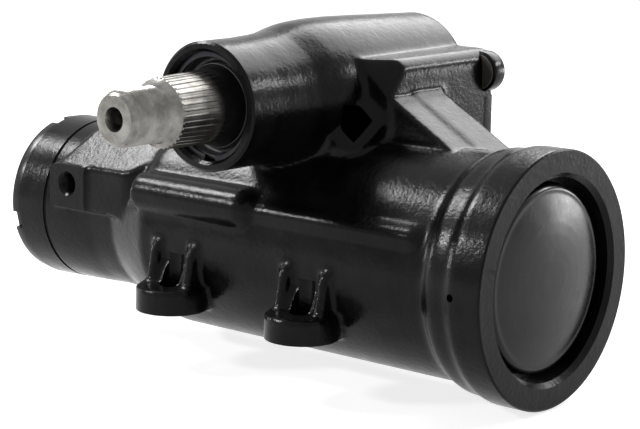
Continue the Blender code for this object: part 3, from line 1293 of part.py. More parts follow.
def build_adjuster_plug(frame):
    """The plug that closes the valve end, its lock nut, bearing and seals."""
    low, high = valve_stack()["plug"]
    rim = ADJUSTER_BORE_R - SEAT
    hole = STUB_R + 1.5 * MM
    step = low + 13 * MM
    middle = high - 4 * MM
    groove = O_RING_R * 1.6
    snap_low = low + 1.5 * MM
    snap_high = snap_low + 1.6 * MM
    profile = [
        (high, hole + MM), (high, rim), (middle + O_RING_R, rim), (middle + O_RING_R, rim - groove),
        (middle - O_RING_R, rim - groove), (middle - O_RING_R, rim), (low + MM, rim), (low, rim - MM),
        (low, PLUG_CORE_R), (snap_low, PLUG_CORE_R), (snap_low, PLUG_CORE_R + MM),
        (snap_high, PLUG_CORE_R + MM),
        (snap_high, PLUG_CORE_R), (step, PLUG_CORE_R), (step, hole + MM),
    ]
    plug = turned("adjuster_plug", frame, "X", profile, closed=True, steps=ROUND)
    for i in range(4):
        y, z = turn_point((rim + PLUG_CORE_R) / 2, TURN * i / 4)
        cut(plug, round_bar("spanner_hole", frame, "X", low - 5 * MM, low + 4 * MM, 2.4 * MM, steps=8,
                            at=(0, y, z)))
    finish(plug, STEEL, 0.4, 1.0)
    o_ring = ring("adjuster_plug_o_ring", frame, "X", middle - O_RING_R + SEAT, middle + O_RING_R - SEAT,
                  rim - groove + SEAT, rim, steps=ROUND)
    finish(o_ring, RUBBER, 0.6, 0.0)
    bearing = ring("stub_shaft_bearing", frame, "X", step + SEAT, high - MM, STUB_R + RUN, hole + MM - SEAT,
                   steps=HIDDEN)
    finish(bearing, HARD_STEEL, 0.3, 1.0)
    seal = ring("stub_shaft_seal", frame, "X", step - SEAT - 5 * MM, step - SEAT, STUB_R + RUN, PLUG_CORE_R - SEAT,
                steps=HIDDEN)
    finish(seal, RUBBER, 0.55, 0.0)
    dust = ring("stub_shaft_dust_seal", frame, "X", snap_high + SEAT, step - 2 * SEAT - 5 * MM, STUB_R + RUN,
                PLUG_CORE_R - SEAT, steps=HIDDEN)
    finish(dust, RUBBER, 0.6, 0.0)
    snap = ring("stub_shaft_snap_ring", frame, "X", snap_low + SEAT, snap_high - SEAT, PLUG_CORE_R - 2 * MM,
                PLUG_CORE_R + MM - SEAT, steps=HIDDEN)
    finish(snap, HARD_STEEL, 0.35, 1.0)
    nut_high = HOUSING_END_X - SEAT
    nut_low = nut_high - LOCK_RING
    nut = turned("adjuster_lock_nut", frame, "X", [
        (nut_high, rim + SEAT), (nut_high, LOCK_RING_R), (nut_low + MM, LOCK_RING_R),
        (nut_low, LOCK_RING_R - MM), (nut_low, rim + SEAT)], closed=True, steps=FINE)
    for i in range(LOCK_RING_SLOTS):
        angle = TURN * (i + 0.14) / LOCK_RING_SLOTS
        cut(nut, lock_ring_slot(frame, angle, nut_low, nut_high))
    finish(nut, PAINT, 0.3, 0.0)


def lock_ring_slot(frame, angle, low, high):
    """One slot across the rim of the lock nut."""
    bottom = LOCK_RING_R - LOCK_RING_SLOT_DEPTH
    half = LOCK_RING_SLOT / 2
    corners = [(bottom, -half), (LOCK_RING_R + 5 * MM, -half), (LOCK_RING_R + 5 * MM, half), (bottom, half)]
    spin = Matrix.Rotation(angle, 2)
    outline = [tuple(spin @ Vector(corner)) for corner in corners]
    return plate("lock_slot", frame, "YZ", [outline], low - 5 * MM, high + 5 * MM)


def build_port_seats(frame):
    """The brass seats pressed into the two hose ports."""
    for name, x, radius in zip(("pressure_port_seat", "return_port_seat"), PORT_XS, PORT_HOLE_RS):
        floor = PORT_TOP_Z - PORT_DEPTH + SEAT
        rim = radius - SEAT
        profile = [(floor, PORT_FEED_R), (floor, rim), (floor + 1.5 * MM, rim),
                   (floor + 1.5 * MM, rim - 2 * MM), (floor + SEAT_HEIGHT, PORT_FEED_R + MM),
                   (floor + SEAT_HEIGHT, PORT_FEED_R)]
        seat = turned(name, frame, "Z", profile, closed=True, steps=SMALL, at=(x, 0, 0))
        finish(seat, BRASS, 0.3, 1.0)


def main():
    clear_scene()
    back = COVER_OUT_Y + COVER_PAD + SEAT + ADJUSTER_OUT
    centre = Vector((-(STUB_END_X + FLANGE_FACE_X) / 2, -(SHAFT_END_Y + back) / 2, FLANGE_R))
    base = empty("gearbox_base", location=centre)
    worm_axis = empty("worm_axis", base)
    input_axis = empty("input_axis", worm_axis)
    rack_axis = empty("rack_axis", base)
    sector_axis = empty("sector_axis", base, SECTOR_AT)
    adjuster_axis = empty("adjuster_axis", base, SECTOR_AT)
    build_housing(base)
    build_flanged_end(base)
    build_side_cover(base)
    build_lash_adjuster(adjuster_axis)
    build_nose_seals(base)
    build_sector(sector_axis)
    build_ball_train(rack_axis)
    build_rack_piston(rack_axis)
    build_ball_return(rack_axis)
    build_worm(worm_axis)
    build_sleeve(worm_axis)
    build_input(input_axis)
    build_thrust_bearings(base)
    build_adjuster_plug(base)
    build_port_seats(base)


main()
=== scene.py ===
"""The looks of a power steering gearbox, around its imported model.

Sizes are in millimetres in the gearbox's own frame, whose origin is where the barrel's axis
passes under the sector shaft. The frame's first joint says where that origin is.
"""

import json
import math

import bmesh
import bpy
import numpy as np
from mathutils import Matrix, Vector


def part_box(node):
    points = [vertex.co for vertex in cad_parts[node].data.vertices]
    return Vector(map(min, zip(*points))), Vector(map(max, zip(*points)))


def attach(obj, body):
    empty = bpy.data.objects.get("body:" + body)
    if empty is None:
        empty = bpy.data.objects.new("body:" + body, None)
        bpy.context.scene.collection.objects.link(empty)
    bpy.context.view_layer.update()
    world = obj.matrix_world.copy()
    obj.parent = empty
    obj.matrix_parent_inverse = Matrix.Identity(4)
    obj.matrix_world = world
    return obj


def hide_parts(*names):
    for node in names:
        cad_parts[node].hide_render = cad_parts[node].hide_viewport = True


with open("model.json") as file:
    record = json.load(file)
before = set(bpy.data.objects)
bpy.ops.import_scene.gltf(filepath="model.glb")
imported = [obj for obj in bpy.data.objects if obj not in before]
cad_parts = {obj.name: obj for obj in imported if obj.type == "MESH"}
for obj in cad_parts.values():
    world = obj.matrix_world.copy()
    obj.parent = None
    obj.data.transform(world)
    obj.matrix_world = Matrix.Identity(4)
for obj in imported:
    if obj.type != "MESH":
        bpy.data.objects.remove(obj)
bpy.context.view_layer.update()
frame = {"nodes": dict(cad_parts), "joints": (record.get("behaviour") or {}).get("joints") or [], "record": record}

MM = 0.001
TURN = 2 * math.pi
JOINTS = {joint["name"]: joint for joint in frame["joints"]}
ORIGIN = Vector(JOINTS["worm_spin"]["pos_m"])
SECTOR_Z = (JOINTS["sector_swing"]["pos_m"][2] - ORIGIN.z) / MM


def span(node, axis):
    """Where a CAD node lies along an axis, in the gearbox's own millimetres."""
    low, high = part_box(node)
    return (low[axis] - ORIGIN[axis]) / MM, (high[axis] - ORIGIN[axis]) / MM


# Main sizes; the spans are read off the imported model
HOUSING_X = span("gear_housing", 0)
NOSE_Y, JOINT_Y = span("gear_housing", 1)
FLANGE_R = 56
BARREL_R = 50.3
VALVE_END_R = 40.85

# The bores of the barrel
BORE_R = 38
PLUG_BORE_R = 44
MOUTH_R = 46

# The mounting ears
EAR_XS = (-41.5, 36.5)
EAR_Y = 53
EAR_LOW_Z = -31
EAR_HOLE_R = 5.6

# The port block and the small square boss beside it
PORT_FACE_Y = -44.5
PORT_TOP_Z = 47
PORT_XS = (-100, -78)
PORT_HOLE_RS = (8.2, 9.2)
SQUARE_X = (-132, -108)
SQUARE_Z = (4, 24.5)

# The chamber block, and the side cover over it
BLOCK_TOP_Z = 86
BLOCK_LOW_Z = 16.5
BLOCK_CORNER = 7
SHOULDER_Y = -8
COVER_HALF = 46.7
COVER_R = 31.6
COVER_EARS = ((44, 75.5), (37, 26))
COVER_BACK_Y = 62.9
COVER_FACE_Y = 71.0
BOLTS = ((38.7, 76.5), (-38.7, 76.5), (37, 26), (-37, 26))
BOLT_HOLE_R = 4.8
ADJUSTER_HOLE_R = 5.3

# Where the pitman shaft turns dark and stops being metallic, towards the nose
DARK_SHAFT_EDGE_Y = -82

# Fineness of the round pieces and of the casting
STEPS = 144
CAST_VOXEL = 1.32
CAST_SMOOTHING = 7

# Camera, solved from the photograph's ellipses
CAMERA_AT = (570.177, -684.238, 184.359)
CAMERA_RIGHT = (0.7672164, 0.6412138, 0.01496205)
CAMERA_UP = (-0.13395815, 0.13738143, 0.98141814)
CAMERA_BACK = (0.62724334, -0.75496438, 0.1912971)
CAMERA_LENS = 110.87
SENSOR_WIDTH = 36


# Making and cutting meshes


def place(point):
    """A point of the gearbox in the frame's metres."""
    return ORIGIN + Vector(point) * MM


def new_object(name, data):
    thing = bpy.data.objects.new(name, data)
    bpy.context.scene.collection.objects.link(thing)
    return thing


def mesh_object(name, form):
    """Writes a bmesh in millimetres to an object in the frame's metres."""
    for vert in form.verts:
        vert.co = place(vert.co)
    bmesh.ops.remove_doubles(form, verts=form.verts, dist=0.002 * MM)
    bmesh.ops.recalc_face_normals(form, faces=form.faces)
    mesh = bpy.data.meshes.new(name)
    form.to_mesh(mesh)
    form.free()
    return new_object(name, mesh)


def round_corners(points, radius, steps=3, closed=False):
    """Rounds the corners of a line of points; a corner keeps to half its shorter side."""
    count = len(points)
    rounded = []
    for i, here in enumerate(points):
        if not closed and i in (0, count - 1):
            rounded.append(here)
            continue
        here = Vector(here)
        before = Vector(points[i - 1]) - here
        after = Vector(points[(i + 1) % count]) - here
        reach = min(radius, before.length * 0.49, after.length * 0.49)
        start = here + before.normalized() * reach
        end = here + after.normalized() * reach
        for k in range(steps + 1):
            t = k / steps
            rounded.append(tuple(start * (1 - t) ** 2 + here * 2 * t * (1 - t) + end * t ** 2))
    return rounded


def turned(name, axis, profile, at=(0, 0, 0), steps=STEPS, closed=False):
    """Turns (height, radius) points about an axis."""
    form = bmesh.new()
    rings = []
    for k in range(steps):
        angle = TURN * k / steps
        c, s = math.cos(angle), math.sin(angle)
        ring = []
        for height, radius in profile:
            spot = {"X": (height, radius * c, radius * s),
                    "Y": (radius * s, height, radius * c),
                    "Z": (radius * c, radius * s, height)}[axis]
            ring.append(form.verts.new(Vector(spot) + Vector(at)))
        rings.append(ring)
    count = len(profile)
    for k in range(steps):
        here, following = rings[k], rings[(k + 1) % steps]
        for i in range(count if closed else count - 1):
            j = (i + 1) % count
            form.faces.new((here[i], here[j], following[j], following[i]))
    bmesh.ops.remove_doubles(form, verts=form.verts, dist=1e-5)
    return mesh_object(name, form)


def plate(name, plane, outline, low, high):
    """A flat outline, extruded from low to high across its plane."""
    form = bmesh.new()
    spot = {"XZ": lambda u, v, w: (u, w, v),
            "YZ": lambda u, v, w: (w, u, v),
            "XY": lambda u, v, w: (u, v, w)}[plane]
    bottom = [form.verts.new(spot(u, v, low)) for u, v in outline]
    top = [form.verts.new(spot(u, v, high)) for u, v in outline]
    form.faces.new(bottom)
    form.faces.new(top[::-1])
    count = len(outline)
    for i in range(count):
        j = (i + 1) % count
        form.faces.new((bottom[i], top[i], top[j], bottom[j]))
    return mesh_object(name, form)


def bar(name, axis, low, high, radius, at=(0, 0, 0), steps=STEPS):
    """A round bar along an axis."""
    return turned(name, axis, [(high, 0), (high, radius), (low, radius), (low, 0)], at=at, steps=steps)


def ring(name, axis, low, high, inner, outer, edge, at=(0, 0, 0)):
    """A flat ring whose rims are rounded by edge."""
    corners = [(low, inner), (low, outer), (high, outer), (high, inner)]
    return turned(name, axis, round_corners(corners, edge, closed=True), at=at, closed=True)


def arc(centre, radius, start, end, count):
    """Points on an arc, between two angles in degrees."""
    angles = (math.radians(start + (end - start) * i / (count - 1)) for i in range(count))
    return [(centre[0] + radius * math.cos(a), centre[1] + radius * math.sin(a)) for a in angles]


def hexagon_outline(radius, x, z):
    """A hexagon with an inner radius, in X and Z."""
    return arc((x, z), radius / math.cos(math.pi / 6), 0, 300, 6)


def thread(start, end, radius, depth, pitch):
    """The zigzag of a thread's section, from start to end."""
    count = round(abs(end - start) / pitch)
    step = (end - start) / count
    points = []
    for i in range(count):
        points += [(start + step * i, radius), (start + step * (i + 0.5), radius - depth)]
    return points + [(end, radius)]


def applied(thing):
    """Applies an object's modifiers."""
    bpy.context.view_layer.update()
    graph = bpy.context.evaluated_depsgraph_get()
    mesh = bpy.data.meshes.new_from_object(thing.evaluated_get(graph))
    thing.modifiers.clear()
    thing.data = mesh
    return thing


def joined(name, things):
    """One object that holds the meshes of several."""
    form = bmesh.new()
    for thing in things:
        form.from_mesh(thing.data)
        bpy.data.objects.remove(thing)
    mesh = bpy.data.meshes.new(name)
    form.to_mesh(mesh)
    form.free()
    return new_object(name, mesh)


def carve(thing, cutters, operation="DIFFERENCE"):
    """Cuts the cutters out of an object, one after another, and removes them."""
    for cutter in cutters:
        change = thing.modifiers.new("cut", "BOOLEAN")
        change.operation = operation
        change.solver = "MANIFOLD"
        change.object = cutter
    applied(thing)
    for cutter in cutters:
        bpy.data.objects.remove(cutter)
    return thing


def soften(thing, width):
    """Rounds an object's sharp edges."""
    change = thing.modifiers.new("edges", "BEVEL")
    change.width = width * MM
    change.segments = 3
    change.limit_method = "ANGLE"
    change.angle_limit = math.radians(35)
    return applied(thing)


def dress(thing, material, body, node, angle=32):
    """Gives a piece its material and its body, and hides the CAD node that it stands for."""
    thing.data.materials.clear()
    thing.data.materials.append(material)
    thing.data.shade_smooth()
    thing.data.set_sharp_from_angle(angle=math.radians(angle))
    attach(thing, body)
    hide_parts(node)


# Materials


class Finish:
    """A Principled material and short ways to wire textures into it."""

    def __init__(self, name, colour, roughness, metallic=0.0):
        self.material = bpy.data.materials.new(name)
        self.material.use_nodes = True
        self.tree = self.material.node_tree
        self.shader = self.tree.nodes["Principled BSDF"]
        self.shader.inputs["Base Color"].default_value = (*colour, 1)
        self.shader.inputs["Roughness"].default_value = roughness
        self.shader.inputs["Metallic"].default_value = metallic
        self.coords = self.tree.nodes.new("ShaderNodeTexCoord").outputs["Object"]
        self.height = None

    def link(self, source, target):
        self.tree.links.new(source, target)

    def noise(self, size, detail, roughness=0.5, stretch=None):
        """Noise whose lumps are about size millimetres across."""
        node = self.tree.nodes.new("ShaderNodeTexNoise")
        node.inputs["Scale"].default_value = 1 / (size * MM)
        node.inputs["Detail"].default_value = detail
        node.inputs["Roughness"].default_value = roughness
        source = self.coords
        if stretch:
            mapping = self.tree.nodes.new("ShaderNodeMapping")
            mapping.inputs["Scale"].default_value = stretch
            self.link(self.coords, mapping.inputs["Vector"])
            source = mapping.outputs["Vector"]
        self.link(source, node.inputs["Vector"])
        return node.outputs["Fac"]

    def ramp(self, source, stops):
        """Turns a value into another by (position, value) stops."""
        node = self.tree.nodes.new("ShaderNodeValToRGB")
        elements = node.color_ramp.elements
        while len(elements) < len(stops):
            elements.new(0.5)
        for element, (position, value) in zip(elements, stops):
            element.position = position
            colour = value if isinstance(value, tuple) else (value, value, value)
            element.color = (*colour, 1)
        self.link(source, node.inputs["Fac"])
        return node.outputs["Color"]

    def bump(self, source, depth, strength):
        """Adds a bump of depth millimetres to those there already."""
        node = self.tree.nodes.new("ShaderNodeBump")
        node.inputs["Distance"].default_value = depth * MM
        node.inputs["Strength"].default_value = strength
        self.link(source, node.inputs["Height"])
        if self.height:
            self.link(self.height, node.inputs["Normal"])
        self.height = node.outputs["Normal"]
        self.link(self.height, self.shader.inputs["Normal"])

    def vary_roughness(self, source, low, high):
        self.link(self.ramp(source, [(0.3, low), (0.7, high)]), self.shader.inputs["Roughness"])

    def vary_colour(self, source, first, second):
        self.link(self.ramp(source, [(0.35, first), (0.65, second)]), self.shader.inputs["Base Color"])

    def tool_marks(self, roughness, stretch=None):
        """The fine grain of machined steel; stretch draws it out along an axis."""
        self.vary_roughness(self.noise(0.4, 3, 0.6, stretch), roughness * 0.75, roughness * 1.35)
        self.bump(self.noise(0.32, 2, 0.5, stretch), 0.02, 0.5)


def paint(name, cast):
    """Glossy black paint, on rough casting where cast is set and on a smooth face where not."""
    finish = Finish(name, (0.006, 0.006, 0.0065), 0.25)
    finish.shader.inputs["Specular IOR Level"].default_value = 0.1 if cast else 0.2
    finish.vary_colour(finish.noise(14, 4), (0.003, 0.003, 0.0035), (0.008, 0.008, 0.0085))
    if cast:
        finish.vary_roughness(finish.noise(6, 5, 0.6), 0.16, 0.27)
        finish.bump(finish.noise(8, 3, 0.5), 0.3, 0.5)
        finish.bump(finish.noise(1.9, 3, 0.6), 0.2, 0.7)
    else:
        finish.vary_roughness(finish.noise(9, 4, 0.6), 0.18, 0.3)
        finish.bump(finish.noise(2.4, 3), 0.06, 0.5)
    return finish.material


def steel(name, colour, roughness):
    """Bare steel, or another bare metal, with fine tool marks."""
    finish = Finish(name, colour, roughness, 1.0)
    dark = tuple(value * 0.72 for value in colour)
    finish.vary_colour(finish.noise(7, 5, 0.6), dark, colour)
    finish.tool_marks(roughness)
    return finish.material


def shaft_steel(name):
    """Bare steel for the pitman shaft, turning dark and not metallic where it enters the nose."""
    bare, dark, black = (0.24, 0.235, 0.22), (0.13, 0.125, 0.115), (0.01, 0.01, 0.01)
    roughness, fade = 0.27, 2.5
    finish = Finish(name, bare, roughness, 1.0)
    # From the edge at y -82 inwards, the shaft's colour goes to near black and it stops being metallic
    along = finish.tree.nodes.new("ShaderNodeSeparateXYZ")
    finish.link(finish.coords, along.inputs["Vector"])
    edge = finish.tree.nodes.new("ShaderNodeMapRange")
    edge.interpolation_type = "SMOOTHSTEP"
    edge.inputs["From Min"].default_value = place((0, DARK_SHAFT_EDGE_Y - fade, 0)).y
    edge.inputs["From Max"].default_value = place((0, DARK_SHAFT_EDGE_Y + fade, 0)).y
    finish.link(along.outputs["Y"], edge.inputs["Value"])
    darkened = edge.outputs["Result"]
    steel_colour = finish.ramp(finish.noise(7, 5, 0.6), [(0.35, dark), (0.65, bare)])
    mix = finish.tree.nodes.new("ShaderNodeMix")
    mix.data_type = "RGBA"
    finish.link(darkened, mix.inputs["Factor"])
    finish.link(steel_colour, mix.inputs["A"])
    mix.inputs["B"].default_value = (*black, 1)
    finish.link(mix.outputs["Result"], finish.shader.inputs["Base Color"])
    finish.link(finish.ramp(darkened, [(0, 1.0), (1, 0.0)]), finish.shader.inputs["Metallic"])
    finish.tool_marks(roughness, (1, 6, 1))
    return finish.material


def rubber(name):
    """Matt black rubber."""
    finish = Finish(name, (0.02, 0.02, 0.021), 0.55)
    finish.vary_colour(finish.noise(5, 4), (0.014, 0.014, 0.015), (0.03, 0.03, 0.031))
    finish.vary_roughness(finish.noise(3, 4), 0.45, 0.65)
    finish.bump(finish.noise(0.6, 3), 0.03, 0.5)
    return finish.material


def dull(name, colour, roughness):
    """A matt plastic or fibre with faint mottling."""
    finish = Finish(name, colour, roughness)
    dark = tuple(value * 0.7 for value in colour)
    finish.vary_colour(finish.noise(4, 4), dark, colour)
    finish.bump(finish.noise(0.5, 3), 0.03, 0.5)
    return finish.material


CAST_PAINT = paint("cast_black_paint", True)
SMOOTH_PAINT = paint("smooth_black_paint", False)
SHAFT_STEEL = shaft_steel("bright_shaft_steel")
RING_STEEL = steel("hard_steel", (0.42, 0.42, 0.43), 0.32)
BLACK_STEEL = steel("blackened_steel", (0.03, 0.03, 0.032), 0.3)
PLAIN_STEEL = steel("plain_steel", (0.5, 0.49, 0.47), 0.38)
BRONZE = steel("bearing_bronze", (0.42, 0.27, 0.12), 0.4)
BRASS = steel("turned_brass", (0.7, 0.52, 0.2), 0.3)
RUBBER = rubber("nitrile_rubber")
SEAL_PLASTIC = dull("seal_plastic", (0.07, 0.09, 0.08), 0.5)
FIBRE = dull("gasket_fibre", (0.08, 0.075, 0.07), 0.8)
SLOT_MATERIALS = {
    "black_paint": SMOOTH_PAINT,
    "bare_steel": SHAFT_STEEL,
    "hard_steel": RING_STEEL,
    "steel": PLAIN_STEEL,
    "bronze": BRONZE,
    "brass": BRASS,
    "rubber": RUBBER,
    "seal_plastic": SEAL_PLASTIC,
    "fibre": FIBRE,
}


def dress_cad_nodes():
    """Every CAD node takes the procedural material of its slot."""
    for part in frame["record"]["subparts"]:
        thing = frame["nodes"][part["node"]]
        material = SLOT_MATERIALS[part["material_slot"]]
        thing.data.materials.clear()
        thing.data.materials.append(material)


# The housing


def barrel():
    """The long barrel, from the valve end to the flange with its two-step neck."""
    start, end = HOUSING_X
    profile = [(start - 2, 0), (start - 2, 40.8), (-124, 39.6), (-110, 39), (-94.5, 39.6),
               (-66, 49.9), (-64, BARREL_R), (97, BARREL_R), (99.5, 50.9), (102, 53), (105, 53.9),
               (112, 54.3), (114, 55), (116, FLANGE_R), (end + 2, FLANGE_R), (end + 2, 0)]
    return turned("barrel", "X", profile)


def tower():
    """The tower round the sector shaft, from its nose to the side cover."""
    profile = [(NOSE_Y - 2, 0), (NOSE_Y - 2, 28.15), (-55, 28.2), (-42, 28.8), (-34, 29.6),
               (-29, 30.7), (-22, 32.2), (-15, 33), (-8, 33.4), (6, 33.55), (27, 33), (50, 32.2),
               (JOINT_Y - 1, 31.6), (JOINT_Y - 1, 0)]
    return turned("tower", "Y", profile, at=(0, 0, SECTOR_Z))


def cover_outline(grow=0.0):
    """The side cover's outline in X and Z, ears included."""
    (upper_x, upper_z), (lower_x, lower_z) = COVER_EARS
    waist_z = upper_z - 11.5
    ear_r = 9.5 + grow
    half = COVER_HALF + grow
    radius = COVER_R + grow
    meet = math.degrees(math.asin((BLOCK_TOP_Z + grow - SECTOR_Z) / radius))
    points = arc((0, SECTOR_Z), radius, meet, 180 - meet, 40)
    points += arc((-upper_x, upper_z), ear_r, 100, 262, 20)
    points += [(-half, waist_z), (-half, lower_z)]
    points += arc((-lower_x, lower_z), ear_r, 195, 270, 12)
    points += arc((lower_x, lower_z), ear_r, 270, 345, 12)
    points += [(half, lower_z), (half, waist_z)]
    points += arc((upper_x, upper_z), ear_r, -82, 80, 20)
    return points


def block_outline():
    """The chamber block in X and Z: a rectangle with round corners."""
    across = COVER_HALF - BLOCK_CORNER
    high, low = BLOCK_TOP_Z - BLOCK_CORNER, BLOCK_LOW_Z + BLOCK_CORNER
    centres = ((across, high), (-across, high), (-across, low), (across, low))
    points = []
    for number, centre in enumerate(centres):
        points += arc(centre, BLOCK_CORNER, 90 * number, 90 * number + 90, 8)
    return points


def joint_outline():
    """The housing's face under the side cover: the block with the tower's round top."""
    block = block_outline()
    meet = math.degrees(math.asin((BLOCK_TOP_Z - SECTOR_Z) / COVER_R))
    return block[:8] + arc((0, SECTOR_Z), COVER_R, meet, 180 - meet, 40) + block[8:]


def facet(side, *corners):
    """The solid in front of a slanted face through three points of the right-hand side."""
    points = [Vector((side * x, y, z)) for x, y, z in corners]
    normal = (points[1] - points[0]).cross(points[2] - points[0]).normalized() * side
    turn = normal.to_track_quat("Z", "Y").to_matrix()
    form = bmesh.new()
    bmesh.ops.create_cube(form, size=2 * COVER_HALF)
    for vert in form.verts:
        vert.co = sum(points, Vector()) / 3 + normal * COVER_HALF + turn @ vert.co
    return mesh_object("facet", form)


def chamber():
    """The block behind the tower, the round wall in front of it and the face for the side cover."""
    block = plate("shoulder_block", "XZ", block_outline(), SHOULDER_Y, JOINT_Y - 4)
    profile = [(-4, 0), (-4, 46.7), (-17.5, 46.7), (-21.5, 45.7), (-24.5, 43.1), (-26.5, 37.7),
               (-26.5, 0)]
    wall = turned("chamber_wall", "Y", profile, at=(0, 0, SECTOR_Z))
    ridge_x, ridge_z = 31.5, 72
    eave_x, eave_z = 47.7, 61
    above = [(eave_x, eave_z), (ridge_x, ridge_z), (-ridge_x, ridge_z), (-eave_x, eave_z),
             (-90, 140), (90, 140)]
    carve(wall, [plate("above", "XZ", above, -40, 20)])
    for side in (1, -1):
        carve(block, [facet(side, (27.9, SHOULDER_Y, 87.5), (COVER_HALF, SHOULDER_Y, 70),
                            (COVER_HALF, 6.5, BLOCK_TOP_Z))])
        carve(wall, [facet(side, (ridge_x, SHOULDER_Y, ridge_z), (40, -27, 44),
                           (eave_x, SHOULDER_Y, eave_z))])
    face = plate("joint_flange", "XZ", joint_outline(), JOINT_Y - 9, JOINT_Y + 2)
    return [block, wall, face]


def ear(x, side):
    """A mounting ear: a boss, a web and two ribs."""
    low, top = EAR_LOW_Z, EAR_LOW_Z + 11
    root_y, foot_y = 30, EAR_Y + 4
    web = [(root_y, low + 1), (foot_y, low + 1), (EAR_Y + 2, top), (EAR_Y - 2, -12), (root_y, -12)]
    rib = [(root_y, low + 2), (foot_y, low + 2), (foot_y, top), (EAR_Y + 0.5, -3), (EAR_Y - 4, 2),
           (root_y, 2)]
    pieces = [bar("ear_boss", "Z", low - 2, top, 16.5, at=(x, side * EAR_Y, 0), steps=64)]
    for outline, middle, half in ((web, x, 10.4), (rib, x - 11.2, 2.4), (rib, x + 11.2, 2.4)):
        points = [(side * y, z) for y, z in outline]
        pieces.append(plate("ear_wall", "YZ", points, middle - half, middle + half))
    return pieces


def gusset():
    """The sloping wall from the chamber to the flange, with a low rib along it."""
    wall = [(32, 32), (32, 78.6), (97, 40.5), (97, 32)]
    rib = [(32, 32), (32, 79.4), (97, 41.3), (97, 32)]
    return [plate("gusset", "XZ", wall, -7, 31), plate("gusset_rib", "XZ", rib, 9, 30)]


def port_block():
    """The block for the hose ports, round at its right end, and the small square boss."""
    front, top = PORT_FACE_Y + 0.6, PORT_TOP_Z + 2
    section = [(0, 3.5), (front, 3.5), (front, 25), (-20, top), (21, top), (33, 32), (0, 32)]
    ports = plate("port_block", "YZ", section, -130, -63)
    corner = arc((-87.5, -20), 24.5, -90, 0, 24) + [(-55, -20), (-55, -60), (-87.5, -60)]
    slant = [(-130, -46), (-109, -14), (-109, 40), (-135, 40), (-135, -46)]
    carve(ports, [plate("port_corner", "XY", outline, -5, 60) for outline in (corner, slant)])
    proud = PORT_FACE_Y - 2
    low, high = SQUARE_Z
    square = [(-20, low), (proud, low), (proud, high), (-20, high)]
    return [ports, plate("square_boss", "YZ", square, *SQUARE_X)]


def oil_passage():
    """The cast oil passage: a thick boss out of the port block, then a thin ridge."""
    angle = math.radians(157)
    bars = []
    for radius, proud, end in ((6.5, 2.4, 96), (9.5, 6.8, 4)):
        reach = BARREL_R + proud - radius
        profile = [(end, 0), (end - 0.6, radius * 0.45), (end - radius * 0.4, radius * 0.85),
                   (end - radius * 0.9, radius), (-69, radius), (-69, 0)]
        at = (0, reach * math.cos(angle), reach * math.sin(angle))
        bars.append(turned("passage", "X", profile, at, 48))
    return bars


def barrel_cuts():
    """The cutters for the barrel's bores, its end faces and the groove at the valve end."""
    start, end = HOUSING_X
    inside = [(start - 10, 0), (start - 10, 33), (start, 33.4), (-146.1, 33), (-146.1, 27),
              (-94, 27), (-94, 14.5), (-88, 14.5), (-88, BORE_R), (109, BORE_R),
              (109, PLUG_BORE_R), (114.7, PLUG_BORE_R), (114.7, 45.8), (118.3, 45.8),
              (118.3, PLUG_BORE_R), (end - 2.2, PLUG_BORE_R), (end, MOUTH_R),
              (end + 10, MOUTH_R + 0.2), (end + 10, 0)]
    cuts = [turned("bores", "X", inside)]
    for face, out, rim, clear in ((end, 1, FLANGE_R + 0.1, 65), (start, -1, VALVE_END_R, 50)):
        near, away = face - 0.9 * out, face + 20 * out
        profile = [(face, 0), (face, rim - 0.9), (near, rim + 0.05), (near, clear),
                   (away, clear), (away, 0)]
        cuts.append(turned("face", "X", profile))
    groove = [(-142, 60), (-142, 39.4), (-141.5, 39), (-140.6, 39), (-140.1, 39.4), (-140.1, 60)]
    cuts.append(turned("end_groove", "X", groove, closed=True))
    return cuts


def tower_cuts():
    """The cutters for the nose, the shaft's hole, the hollow for the gear and the cover's face."""
    at = (0, 0, SECTOR_Z)
    nose = [(NOSE_Y - 20, 0), (NOSE_Y - 20, 40), (NOSE_Y + 1.1, 40), (NOSE_Y + 1.1, 28.3),
            (NOSE_Y, 27), (NOSE_Y, 0)]
    hole = [(-18, 0), (-18, 22.4), (-49, 22.4), (-49, 23.6), (-70.8, 23.6), (-70.8, 25.1),
            (-72.8, 25.1), (-72.8, 23.6), (-74.5, 23.6), (NOSE_Y, 24.9), (NOSE_Y - 5, 24.9),
            (NOSE_Y - 5, 0)]
    cuts = [turned("nose_face", "Y", nose, at=at), turned("shaft_hole", "Y", hole, at=at)]
    turn = math.degrees(math.asin((SECTOR_Z - 60) / 42))
    hollow = arc((0, SECTOR_Z), 42, -180 + turn, -turn, 50) + [(31.5, SECTOR_Z - 0.5)]
    hollow += arc((0, SECTOR_Z), 27, 0, 180, 40) + [(-31.5, SECTOR_Z - 0.5)]
    cuts.append(plate("hollow", "XZ", hollow, -22, JOINT_Y + 20))
    behind = [(-60, 5), (60, 5), (60, 120), (-60, 120)]
    cuts.append(plate("joint_face", "XZ", behind, JOINT_Y, JOINT_Y + 30))
    return cuts + bolt_cuts(JOINT_Y - 18, JOINT_Y + 20)


def bolt_cuts(low, high):
    """The cutters for the side cover's four bolts."""
    return [bar("bolt_hole", "Y", low, high, BOLT_HOLE_R, at=(x, 0, z), steps=32) for x, z in BOLTS]


def ear_cuts():
    """The cutters for each ear's lower face and hole."""
    cuts = []
    for x in EAR_XS:
        for side in (-1, 1):
            under = [(x - 18, side * 40.2), (x + 18, side * 40.2), (x + 18, side * 75),
                     (x - 18, side * 75)]
            cuts.append(plate("ear_face", "XY", under, EAR_LOW_Z - 9, EAR_LOW_Z))
            cuts.append(bar("ear_hole", "Z", EAR_LOW_Z - 10, -6, EAR_HOLE_R,
                            at=(x, side * EAR_Y, 0), steps=40))
    return cuts


